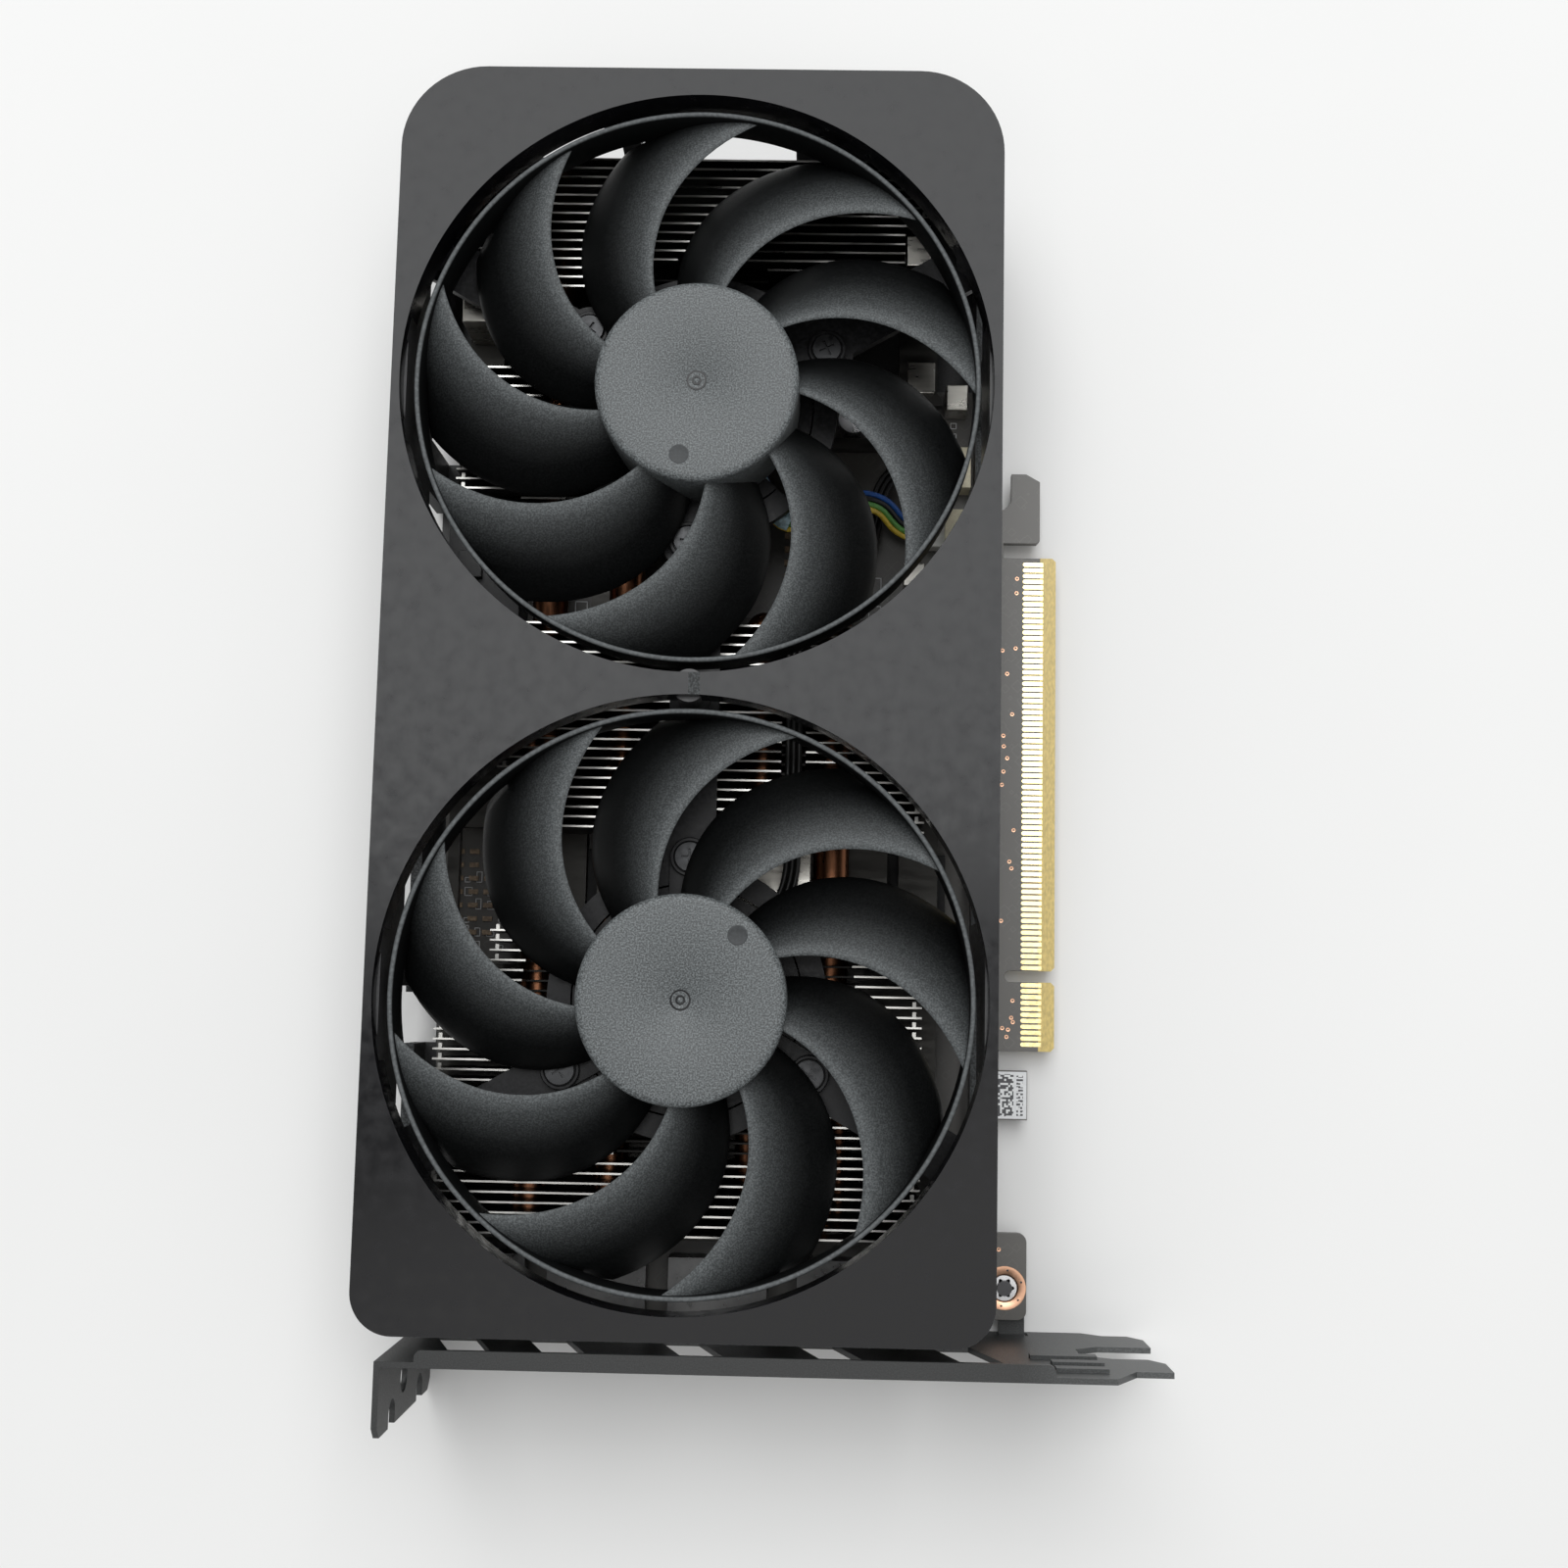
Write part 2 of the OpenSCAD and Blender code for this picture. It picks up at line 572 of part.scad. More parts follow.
// One fin: a plate across the card with slots for the pipes, cut away round the motors
module fin(y, x0, x1) {
    upright(y, y + fin_t) difference() {
        translate([x0, fin_z0]) square([x1 - x0, fin_z1 - fin_z0]);
        for (x = pipe_x) if (x > x0 && x < x1 && (x < -20 || y < near_fins_y1 + 1)) {
            translate([x, pipe_z]) circle(r = pipe_d / 2 + 0.06);
            translate([x - 1.6, fin_z0 - 1]) square([3.2, 2]);
        }
        for (fy = [near_fan_y, far_fan_y]) {
            d = y + fin_t / 2 - fy;
            if (abs(d) < pocket_r) {
                half = sqrt(pocket_r * pocket_r - d * d);
                translate([fan_x - half, pocket_z]) square([2 * half, 20]);
            }
        }
        // channel for the near fan's lead
        if (y > near_fan_y && y < near_fins_y1) translate([0.5, 18.4]) square([4, 10]);
        // room for the mid post screws
        if (abs(y - mid_y) < 4) translate([fan_x - 4, 17.5]) square([8, 10]);
        // clearance beside the small parts at the board's edge
        if (y > -37 && y < 0) translate([fin_x0 - 1, 0]) square([9.6, 40]);
        // room for the bright tabs at the two ends of the first wide fins
        if (y > full_fins_y0 - 1 && y < 82) translate([fin_x0 - 1, 0]) square([5.8, 40]);
        if (y > 82 && y < 88.4) translate([19.6, 0]) square([9, 40]);
    }
}

module near_fins() color([0.83, 0.82, 0.8])
    for (span = [[near_fins_y0, core_gap[0]], [core_gap[1], near_fins_y1]])
        for (y = [span[0] : fin_pitch : span[1]]) fin(y, fin_x0, fin_x1);

module far_fins() color([0.83, 0.82, 0.8]) {
    for (y = [far_fins_y0 : fin_pitch : left_fins_y1])
        fin(y, y < socket_fins_y1 ? socket_fins_x0 : fin_x0, -22);
    for (y = [full_fins_y0 : fin_pitch : far_fins_y1]) fin(y, fin_x0, fin_x1);
}

module thermal_pads() color([0.62, 0.66, 0.72])
    for (p = memory_places) {
        x0 = p[0] < core[0] ? core[0] - 33 : core[0] + 26.6;
        box(x0, p[1] - 6.5, board_top + 1.1, x0 + 6.4, p[1] + 6.5, frame_z0);
    }

module cooler_screws() color([0.75, 0.75, 0.77])
    for (x = [-1, 1], y = [-1, 1])
        translate([core[0] + x * core_screw, core[1] + y * core_screw, 0.3]) mirror([0, 0, 1])
            cross_screw(2.4, 0.9, 1.25, 6.8);

module spring_washers() color([0.6, 0.6, 0.62])
    for (x = [-1, 1], y = [-1, 1])
        translate([core[0] + x * core_screw, core[1] + y * core_screw, 1.25]) rotate_extrude()
            polygon([[1.4, 0], [1.8, 0], [2.9, 0.6], [2.9, 0.85], [2.5, 0.85], [1.4, 0.25]]);

module rear_brace() color([0.6, 0.6, 0.62]) difference() {
    union() {
        for (a = [45, 135]) translate([core[0], core[1], 2.1]) rotate([0, 0, a])
            translate([-42, -3.6, 0]) cube([84, 7.2, 0.8]);
        translate([core[0], core[1], 2.1]) cylinder(r = 14, h = 0.8);
    }
    post(core, 9, 1, 4);
    for (x = [-1, 1], y = [-1, 1])
        post([core[0] + x * core_screw, core[1] + y * core_screw], 1.4, 1, 4);
}

// ---------- fans ----------

ear_r = 22.8;
ear_t = 0.8;
function arm_angles(dir) = dir < 0 ? [90, 210, 330] : [270, 30, 150];
function ear_angles(dir) = dir < 0 ? [90, 210, 330] : [266, 26, 146];

module fan_frame(fy, dir) intersection() {
    box(fan_x - 46.2, fy - 60, 0, fan_x + 46.2, fy + 60, card_h);
    difference() {
        union() {
            translate([fan_x, fy, arm_z0]) cylinder(r = 22.4, h = arm_z1 - arm_z0);
            for (i = [0:2]) {
                l = i == 0 ? norm([0, fy - mid_y]) : frame_post_r;
                translate([fan_x, fy, arm_z0]) rotate([0, 0, ear_angles(dir)[i]])
                    translate([ear_r, 0, 0]) cylinder(r = 4.4, h = arm_z1 - arm_z0);
                translate([fan_x, fy, arm_z0]) rotate([0, 0, arm_angles(dir)[i]]) {
                    translate([8, -4, 0]) cube([l - 8 - (i == 0 ? 0.2 : 0), 8, arm_z1 - arm_z0]);
                    if (i > 0) translate([l, 0, 0]) cylinder(r = 4, h = arm_z1 - arm_z0);
                }
            }
        }
        // seat of the motor base
        translate([fan_x, fy, arm_z0 - 1]) cylinder(r = 18.6, h = 5);
        for (a = ear_angles(dir)) translate([fan_x, fy, arm_z0]) rotate([0, 0, a])
            translate([ear_r, 0, -3]) cylinder(r = 1.1, h = 9);
        // holes of the screws into the shroud's posts; the middle post is shared
        for (p = arm_ends(fy, dir)) post(p, 1.15, arm_z0 - 1, arm_z1 + 1);
        if (dir > 0) box(fan_x - 6, mid_y - 6, arm_z0 - 2, fan_x + 6, mid_y, arm_z1 + 1);
        if (dir < 0) box(fan_x - 6, mid_y, arm_z0 - 2, fan_x + 6, mid_y + 6, arm_z1 + 1);
        // passage for the lead
        translate([fan_x, fy, arm_z0 - 3]) rotate([0, 0, dir < 0 ? 40 : -40])
            translate([8, -2.2, 0]) cube([20, 4.4, 8]);
    }
}

module motor_base(fy, dir) difference() {
    union() {
        translate([fan_x, fy, arm_z0]) cylinder(r = 18.3, h = arm_z1 - arm_z0);
        // seat of the fan's board
        translate([fan_x, fy, arm_z0]) cylinder(r = 6, h = board_z0 - arm_z0);
        // ears that lie on the fan frame
        for (a = ear_angles(dir)) translate([fan_x, fy, arm_z1]) rotate([0, 0, a]) {
            translate([14, -3.2, -0.5]) cube([4, 6.4, ear_t + 0.5]);
            translate([14, -3.2, 0]) cube([ear_r - 14, 6.4, ear_t]);
            translate([ear_r, 0, 0]) cylinder(r = 3.2, h = ear_t);
        }
    }
    for (a = ear_angles(dir)) translate([fan_x, fy, arm_z1 - 1]) rotate([0, 0, a])
        translate([ear_r, 0, 0]) cylinder(r = 1.1, h = 3);
    translate([fan_x, fy, arm_z0 + 0.5]) cylinder(r = sleeve_r + 0.03, h = 5);
    translate([fan_x, fy, arm_z0 - 1]) rotate([0, 0, dir < 0 ? 40 : -40])
        translate([8, -2, 0]) cube([14, 4, 8]);
}

module fan_screws(fy, dir)
    for (a = ear_angles(dir)) translate([fan_x, fy, arm_z1 + ear_t + 1]) rotate([0, 0, a])
        translate([ear_r, 0, 0]) cross_screw(2.3, 1, 1.05, 3.4);

module fan_board(fy, dir) difference() {
    translate([fan_x, fy, board_z0]) cylinder(r = 13, h = 0.8);
    translate([fan_x, fy, board_z0 - 1]) cylinder(r = 3.6, h = 3);
}

module bearing_sleeve(fy) difference() {
    translate([fan_x, fy, arm_z0 + 0.5]) cylinder(r = sleeve_r, h = 12.5);
    translate([fan_x, fy, arm_z0]) cylinder(r = shaft_r + 0.05, h = 20);
}

pole_count = 6;
module stator_core(fy) translate([fan_x, fy, rotor_z0 + 0.6]) difference() {
    union() {
        cylinder(r = 5.2, h = 4.2);
        for (i = [0:pole_count - 1]) rotate([0, 0, i * 360 / pole_count]) {
            translate([4, -1, 0]) cube([7, 2, 4.2]);
            intersection() {
                difference() {
                    cylinder(r = 12, h = 4.2);
                    translate([0, 0, -1]) cylinder(r = 10.4, h = 7);
                }
                translate([8, -4.6, -1]) cube([6, 9.2, 8]);
            }
        }
    }
    translate([0, 0, -1]) cylinder(r = sleeve_r + 0.03, h = 8);
}

module windings(fy) translate([fan_x, fy, rotor_z0 + 0.1])
    for (i = [0:pole_count - 1]) rotate([0, 0, i * 360 / pole_count]) difference() {
        translate([5.9, -2.2, 0]) cube([4.1, 4.4, 5.2]);
        translate([5, -1.05, 0.45]) cube([6, 2.1, 4.3]);
    }

function sweep_deg(r) = let (d = r - hub_d / 2) -d * (0.853 + 0.0165 * d);

// Points of one blade: rows from hub to ring, columns from leading to trailing edge
blade_rows = 6;
blade_cols = 5;
function blade_point(i, j, side) =
    let (r0 = hub_d / 2 - 0.7, r1 = ring_d / 2 - ring_wall / 2,
        r = r0 + (r1 - r0) * i / blade_rows,
        c = j / blade_cols,
        a = sweep_deg(r) + blade_chord_deg * c,
        drop = (lead_edge_z - trail_edge_z) * (0.45 * c + 0.55 * c * c),
        half_t = 0.28 + 0.9 * c * (1 - c))
    [r * cos(a), r * sin(a), lead_edge_z - drop + side * half_t];

module blade() {
    n = (blade_rows + 1) * (blade_cols + 1);
    function id(i, j, s) = i * (blade_cols + 1) + j + s * n;
    points = [for (s = [1, -1], i = [0:blade_rows], j = [0:blade_cols]) blade_point(i, j, s)];
    faces = concat(
        [for (i = [0:blade_rows - 1], j = [0:blade_cols - 1])
            [id(i, j, 0), id(i, j + 1, 0), id(i + 1, j, 0)]],
        [for (i = [0:blade_rows - 1], j = [0:blade_cols - 1])
            [id(i, j + 1, 0), id(i + 1, j + 1, 0), id(i + 1, j, 0)]],
        [for (i = [0:blade_rows - 1], j = [0:blade_cols - 1])
            [id(i, j, 1), id(i + 1, j, 1), id(i, j + 1, 1)]],
        [for (i = [0:blade_rows - 1], j = [0:blade_cols - 1])
            [id(i, j + 1, 1), id(i + 1, j, 1), id(i + 1, j + 1, 1)]],
        [for (i = [0:blade_rows - 1]) [id(i, 0, 0), id(i + 1, 0, 0), id(i + 1, 0, 1), id(i, 0, 1)]],
        [for (i = [0:blade_rows - 1]) let (j = blade_cols)
            [id(i, j, 0), id(i, j, 1), id(i + 1, j, 1), id(i + 1, j, 0)]],
        [for (j = [0:blade_cols - 1]) [id(0, j, 0), id(0, j, 1), id(0, j + 1, 1), id(0, j + 1, 0)]],
        [for (j = [0:blade_cols - 1]) let (i = blade_rows)
            [id(i, j, 0), id(i, j + 1, 0), id(i, j + 1, 1), id(i, j, 1)]]);
    polyhedron(points, faces, convexity = 6);
}

module impeller(fy, phase) translate([fan_x, fy, 0]) {
    hub_r = hub_d / 2;
    rotate_extrude($fn = 96) polygon([
        [0, hub_z1 - 0.9], [0, hub_z1], [hub_r - 0.9, hub_z1], [hub_r - 0.25, hub_z1 - 0.3],
        [hub_r, hub_z1 - 0.9], [hub_r, hub_z0], [hub_r - hub_wall, hub_z0],
        [hub_r - hub_wall, hub_z1 - 1.7], [shaft_r + 0.02, hub_z1 - 1.7],
        [shaft_r + 0.02, hub_z1 - 0.9]]);
    translate([0, 0, ring_z0]) difference() {
        cylinder(r = ring_d / 2, h = ring_z1 - ring_z0, $fn = 96);
        translate([0, 0, -1]) cylinder(r = ring_d / 2 - ring_wall, h = 20, $fn = 96);
    }
    for (i = [0:blade_count - 1]) rotate([0, 0, phase + i * 360 / blade_count]) blade();
}

module rotor_yoke(fy) translate([fan_x, fy, 0]) rotate_extrude()
    polygon([[1.55, 36.6], [14.1, 36.6], [14.1, rotor_z0], [14.7, rotor_z0], [14.7, 37.2],
        [1.55, 37.2]]);

module magnet_ring(fy) translate([fan_x, fy, rotor_z0 + 0.2]) difference() {
    cylinder(r = 14.05, h = 6);
    translate([0, 0, -1]) cylinder(r = 12.6, h = 8);
}

module shaft(fy) translate([fan_x, fy, arm_z0 + 0.8])
    cylinder(r = shaft_r, h = hub_z1 - 1 - (arm_z0 + 0.8));

// ---------- fan leads ----------

// Smooth curve through the route's points, a few steps a span
function curve(p, steps = 3) = concat([for (i = [0:len(p) - 2], k = [0:steps - 1])
    let (a = p[max(i - 1, 0)], b = p[i], c = p[i + 1], d = p[min(i + 2, len(p) - 1)],
        t = k / steps)
    0.5 * (2 * b + t * (c - a) + t * t * (2 * a - 5 * b + 4 * c - d)
        + t * t * t * (3 * b - a - 3 * c + d))], [p[len(p) - 1]]);

function unit(v) = v / norm(v);

module tube(p, d, sides = 8) {
    n = len(p);
    ref = unit([-0.75, 0.62, 0.2]);
    points = [for (i = [0:n - 1])
        let (t = unit(p[min(i + 1, n - 1)] - p[max(i - 1, 0)]), u = unit(cross(t, ref)),
            v = cross(u, t))
        for (k = [0:sides - 1]) let (a = 360 * k / sides)
            p[i] + d / 2 * (u * cos(a) + v * sin(a))];
    faces = concat(
        [[for (k = [0:sides - 1]) k]],
        [[for (k = [sides - 1:-1:0]) (n - 1) * sides + k]],
        [for (i = [0:n - 2], k = [0:sides - 1]) let (m = (k + 1) % sides)
            [i * sides + k, (i + 1) * sides + k, (i + 1) * sides + m]],
        [for (i = [0:n - 2], k = [0:sides - 1]) let (m = (k + 1) % sides)
            [i * sides + k, (i + 1) * sides + m, i * sides + m]]);
    polyhedron(points, faces, convexity = 8);
}

module fan_plug(y) box(23.5, y - 2.9, board_top + 0.9, 31.1, y + 2.9, board_top + 4.3);

module frame_screws() color([0.72, 0.72, 0.74])
    for (p = concat(arm_ends(near_fan_y, -1), [arm_ends(far_fan_y, 1)[1], arm_ends(far_fan_y, 1)[2]]))
        translate([p[0], p[1], arm_z0]) mirror([0, 0, 1])
            translate([0, 0, 1]) cross_screw(2, 1, 0.86, 6);

// ---------- nodes ----------

frame_black = [0.07, 0.07, 0.075];
blade_black = [0.09, 0.095, 0.1];
steel = [0.7, 0.7, 0.72];
copper = [0.75, 0.4, 0.22];

shroud();
backplate();
backplate_screws();
rear_brace();
spring_washers();
cooler_screws();
circuit_board();
edge_contacts();
small_board_parts();
processor_substrate();
processor_die();
memory_chips();
power_inductors();
power_stages();
capacitors();
power_socket();
power_socket_pins();
hdmi_socket();
displayport_sockets();
socket_tongues();
fan_sockets();
slot_bracket();
bracket_screw();
cold_plate();
pipe_clamp();
cooler_frame();
frame_tabs();
heat_pipes();
near_fins();
far_fins();
thermal_pads();
label();
frame_screws();
color(frame_black) fan_frame(near_fan_y, -1);  // near_fan_frame
color(frame_black) motor_base(near_fan_y, -1);  // near_motor_base
color(steel) fan_screws(near_fan_y, -1);  // near_fan_screws
color([0.1, 0.3, 0.15]) fan_board(near_fan_y, -1);  // near_fan_board
color([0.75, 0.62, 0.3]) bearing_sleeve(near_fan_y);  // near_bearing_sleeve
color(steel) stator_core(near_fan_y);  // near_stator_core
color(copper) windings(near_fan_y);  // near_windings
color(blade_black) impeller(near_fan_y, near_phase_deg);  // near_impeller
color(steel) rotor_yoke(near_fan_y);  // near_rotor_yoke
color([0.2, 0.19, 0.19]) magnet_ring(near_fan_y);  // near_magnet_ring
color(steel) shaft(near_fan_y);  // near_shaft
color([0.1, 0.1, 0.1]) tube(curve(near_lead), lead_d);  // near_fan_lead
color([0.9, 0.9, 0.88]) fan_plug(plug_y[0]);  // near_fan_plug
color(frame_black) fan_frame(far_fan_y, 1);  // far_fan_frame
color(frame_black) motor_base(far_fan_y, 1);  // far_motor_base
color(steel) fan_screws(far_fan_y, 1);  // far_fan_screws
color([0.1, 0.3, 0.15]) fan_board(far_fan_y, 1);  // far_fan_board
color([0.75, 0.62, 0.3]) bearing_sleeve(far_fan_y);  // far_bearing_sleeve
color(steel) stator_core(far_fan_y);  // far_stator_core
color(copper) windings(far_fan_y);  // far_windings
color(blade_black) impeller(far_fan_y, far_phase_deg);  // far_impeller
color(steel) rotor_yoke(far_fan_y);  // far_rotor_yoke
color([0.2, 0.19, 0.19]) magnet_ring(far_fan_y);  // far_magnet_ring
color(steel) shaft(far_fan_y);  // far_shaft
color([0.1, 0.1, 0.1]) tube(curve(far_lead), lead_d);  // far_fan_lead
color([0.9, 0.9, 0.88]) fan_plug(plug_y[1]);  // far_fan_plug
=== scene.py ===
"""Looks of a two-slot graphics card lying on its backplate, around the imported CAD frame.

Lengths in this file are millimetres in the CAD's own frame; `MM` turns them into metres.
"""

import json
import math
import random

import bmesh
import bpy
from mathutils import Matrix, Vector


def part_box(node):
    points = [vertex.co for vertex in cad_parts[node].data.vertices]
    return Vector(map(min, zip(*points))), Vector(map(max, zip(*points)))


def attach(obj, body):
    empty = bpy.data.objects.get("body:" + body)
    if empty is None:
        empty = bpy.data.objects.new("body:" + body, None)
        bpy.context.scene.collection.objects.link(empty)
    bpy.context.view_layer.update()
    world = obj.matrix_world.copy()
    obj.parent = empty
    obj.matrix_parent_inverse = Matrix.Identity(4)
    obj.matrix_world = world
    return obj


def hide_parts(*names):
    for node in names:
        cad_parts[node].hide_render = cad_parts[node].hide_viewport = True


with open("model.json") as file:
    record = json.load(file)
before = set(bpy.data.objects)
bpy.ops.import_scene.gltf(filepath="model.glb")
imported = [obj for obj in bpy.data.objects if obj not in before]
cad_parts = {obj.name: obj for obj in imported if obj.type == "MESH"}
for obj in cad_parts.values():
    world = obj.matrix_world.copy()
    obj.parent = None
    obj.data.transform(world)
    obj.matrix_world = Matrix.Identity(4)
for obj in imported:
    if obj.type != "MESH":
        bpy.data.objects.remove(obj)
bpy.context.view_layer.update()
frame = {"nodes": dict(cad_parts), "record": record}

MM = 0.001
NODES = frame["nodes"]
RECORD = frame["record"]
CARD = "card"


def box_mm(node):
    """Lowest and highest corner of a CAD node, in millimetres."""
    lo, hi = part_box(node)
    return Vector(lo) / MM, Vector(hi) / MM


def fan_axis(child):
    """Centre of a fan, in millimetres, from the joint that turns it."""
    for joint in RECORD["behaviour"]["joints"]:
        if joint["child"] == child:
            return Vector(joint["pos_m"]) / MM
    raise ValueError(child)


SHROUD_LO, SHROUD_HI = box_mm("shroud")
BOARD_LO, BOARD_HI = box_mm("circuit_board")
HUB_LO, HUB_HI = box_mm("near_impeller")
NEAR_AXIS = fan_axis("near_rotor")
FAR_AXIS = fan_axis("far_rotor")
FAN_X = NEAR_AXIS.x
MID_Y = (NEAR_AXIS.y + FAR_AXIS.y) / 2
FRONT_Z = SHROUD_HI.z
BOARD_Z = BOARD_HI.z

# ---------------------------------------------------------------- shared dimensions

OPENING_R = 46.9
WALL = 1.8
PLATE_T = 2.0
HUB_R = 16.25
HUB_TOP = HUB_HI.z
HUB_BOTTOM = HUB_LO.z
RING_R = (HUB_HI.x - HUB_LO.x) / 2
RING_WALL = 0.8
RING_Z0 = HUB_BOTTOM + 4.9
RING_Z1 = HUB_TOP - 0.8
LEAD_Z = HUB_TOP - 2.1
BLADE_DROP = 9.4
BLADES = 9
FIN_TOP = box_mm("near_fins")[1].z
ARM_TOP = box_mm("near_fan_frame")[1].z
EAR_TOP = box_mm("near_motor_base")[1].z
EAR_R = 22.8
EAR_ANGLES = {"near": (90, 210, 330), "far": (266, 26, 146)}
FAN_PHASE = {"near": 24.4, "far": 35.6}
FAN_CENTRE = {"near": NEAR_AXIS, "far": FAR_AXIS}
FAN_DIR = {"near": -1, "far": 1}


# ---------------------------------------------------------------- mesh helpers

def link(name, mesh):
    obj = bpy.data.objects.new(name, mesh)
    bpy.context.scene.collection.objects.link(obj)
    return obj


def shade(mesh, angle=38):
    """Smooth shading with sharp edges where faces turn more than the angle."""
    for poly in mesh.polygons:
        poly.use_smooth = True
    mesh.set_sharp_from_angle(angle=math.radians(angle))


def to_mesh(name, bm, angle=38):
    mesh = bpy.data.meshes.new(name)
    bmesh.ops.scale(bm, vec=(MM, MM, MM), verts=bm.verts)
    bm.to_mesh(mesh)
    bm.free()
    shade(mesh, angle)
    return mesh


def piece(name, bm, body, materials, replaced=(), angle=38):
    """A finished piece from a bmesh in millimetres: linked, painted and riding on its body."""
    obj = link(name, to_mesh(name, bm, angle))
    return finish_piece(obj, body, materials, replaced)


def finish_piece(obj, body, materials, replaced=()):
    for material in materials:
        obj.data.materials.append(material)
    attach(obj, body)
    if replaced:
        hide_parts(*replaced)
    return obj


def arc(cx, cy, r, a0, a1, n=10):
    """Points of an arc, degrees counted anticlockwise."""
    return [(cx + r * math.cos(math.radians(a0 + (a1 - a0) * i / n)),
             cy + r * math.sin(math.radians(a0 + (a1 - a0) * i / n))) for i in range(n + 1)]


def round_rect(x0, y0, x1, y1, near_r, far_r, n=10):
    """Rectangle with round corners: near_r at the low-Y side, far_r at the high-Y side."""
    return (arc(x0 + near_r, y0 + near_r, near_r, 180, 270, n)
            + arc(x1 - near_r, y0 + near_r, near_r, 270, 360, n)
            + arc(x1 - far_r, y1 - far_r, far_r, 0, 90, n)
            + arc(x0 + far_r, y1 - far_r, far_r, 90, 180, n))


def ring_faces(bm, rings, closed=False):
    """Quads between successive rings of vertices."""
    pairs = list(zip(rings, rings[1:]))
    if closed:
        pairs.append((rings[-1], rings[0]))
    for low, high in pairs:
        count = len(low)
        for i in range(count):
            j = (i + 1) % count
            if low[i] is low[j] or high[i] is high[j]:
                continue
            bm.faces.new((low[i], low[j], high[j], high[i]))


def add_prism(bm, outline, z0, z1):
    """A solid prism from an outline counted anticlockwise."""
    low = [bm.verts.new((x, y, z0)) for x, y in outline]
    high = [bm.verts.new((x, y, z1)) for x, y in outline]
    ring_faces(bm, [low, high])
    bm.faces.new(low[::-1])
    bm.faces.new(high)


def add_lathe(bm, centre, profile, segments=96, closed=False):
    """A profile of (radius, z) turned about a vertical axis; radius 0 closes it to a point."""
    rings = []
    for r, z in profile:
        if r <= 1e-6:
            tip = bm.verts.new((centre[0], centre[1], z))
            rings.append([tip] * segments)
            continue
        rings.append([bm.verts.new((
            centre[0] + r * math.cos(2 * math.pi * i / segments),
            centre[1] + r * math.sin(2 * math.pi * i / segments), z)) for i in range(segments)])
    pairs = list(zip(rings, rings[1:])) + ([(rings[-1], rings[0])] if closed else [])
    for low, high in pairs:
        for i in range(segments):
            j = (i + 1) % segments
            corner = [low[i], low[j], high[j], high[i]]
            unique = [p for k, p in enumerate(corner) if p is not corner[k - 1]]
            if len(unique) >= 3:
                bm.faces.new(unique)


def add_block(bm, x0, y0, z0, x1, y1, z1, bevel=0.15, turn=0.0, about=None):
    """A block with chamfered edges, turned by `turn` degrees about a point."""
    made = bmesh.ops.create_cube(bm, size=1.0)["verts"]
    mid = Vector(((x0 + x1) / 2, (y0 + y1) / 2, (z0 + z1) / 2))
    size = Vector((x1 - x0, y1 - y0, z1 - z0))
    for vert in made:
        vert.co = Vector((vert.co.x * size.x, vert.co.y * size.y, vert.co.z * size.z)) + mid
    edges = list({e for vert in made for e in vert.link_edges})
    if bevel:
        width = min(bevel, 0.45 * min(size))
        done = bmesh.ops.bevel(bm, geom=edges, offset=width, segments=2, affect="EDGES")
        made = list({vert for face in done["faces"] for vert in face.verts} | {
            vert for vert in made if vert.is_valid})
    if turn:
        centre = Vector(about) if about is not None else mid
        bmesh.ops.rotate(bm, cent=centre, matrix=Matrix.Rotation(math.radians(turn), 3, "Z"),
                         verts=made)


def add_tube(bm, path, radius, sides=10):
    """A round tube along a list of points, with flat ends."""
    count = len(path)
    points = [Vector(p) for p in path]
    normal = None
    rings = []
    for i in range(count):
        tangent = (points[min(i + 1, count - 1)] - points[max(i - 1, 0)]).normalized()
        if normal is None:
            normal = tangent.orthogonal().normalized()
        normal = (normal - tangent * normal.dot(tangent)).normalized()
        side = tangent.cross(normal)
        rings.append([bm.verts.new(points[i] + radius * (
            normal * math.cos(2 * math.pi * k / sides) + side * math.sin(2 * math.pi * k / sides)))
            for k in range(sides)])
    ring_faces(bm, rings)
    bm.faces.new(rings[0][::-1])
    bm.faces.new(rings[-1])


def carve(obj, cutters, operation="DIFFERENCE"):
    """Applies booleans with throw-away cutters (bmesh solids in millimetres)."""
    helpers = []
    for number, cutter in enumerate(cutters):
        mesh = to_mesh("cutter", cutter)
        helper = link("cutter_%d" % number, mesh)
        modifier = obj.modifiers.new("cut", "BOOLEAN")
        modifier.operation = operation
        modifier.solver = "EXACT"
        modifier.object = helper
        helpers.append(helper)
    bake_modifiers(obj)
    for helper in helpers:
        bpy.data.objects.remove(helper)


def bake_modifiers(obj):
    bpy.context.view_layer.update()
    graph = bpy.context.evaluated_depsgraph_get()
    mesh = bpy.data.meshes.new_from_object(obj.evaluated_get(graph))
    obj.modifiers.clear()
    obj.data = mesh


def round_edges(obj, width, segments=2, angle=35):
    modifier = obj.modifiers.new("edges", "BEVEL")
    modifier.width = width * MM
    modifier.segments = segments
    modifier.limit_method = "ANGLE"
    modifier.angle_limit = math.radians(angle)
    modifier.harden_normals = True
    modifier.use_clamp_overlap = True


def soften_node(name, width):
    """Small rounded edges on a CAD node, which keeps its own mesh."""
    obj = NODES[name]
    weld = obj.modifiers.new("weld", "WELD")
    weld.merge_threshold = 1e-6
    round_edges(obj, width)


# ---------------------------------------------------------------- materials

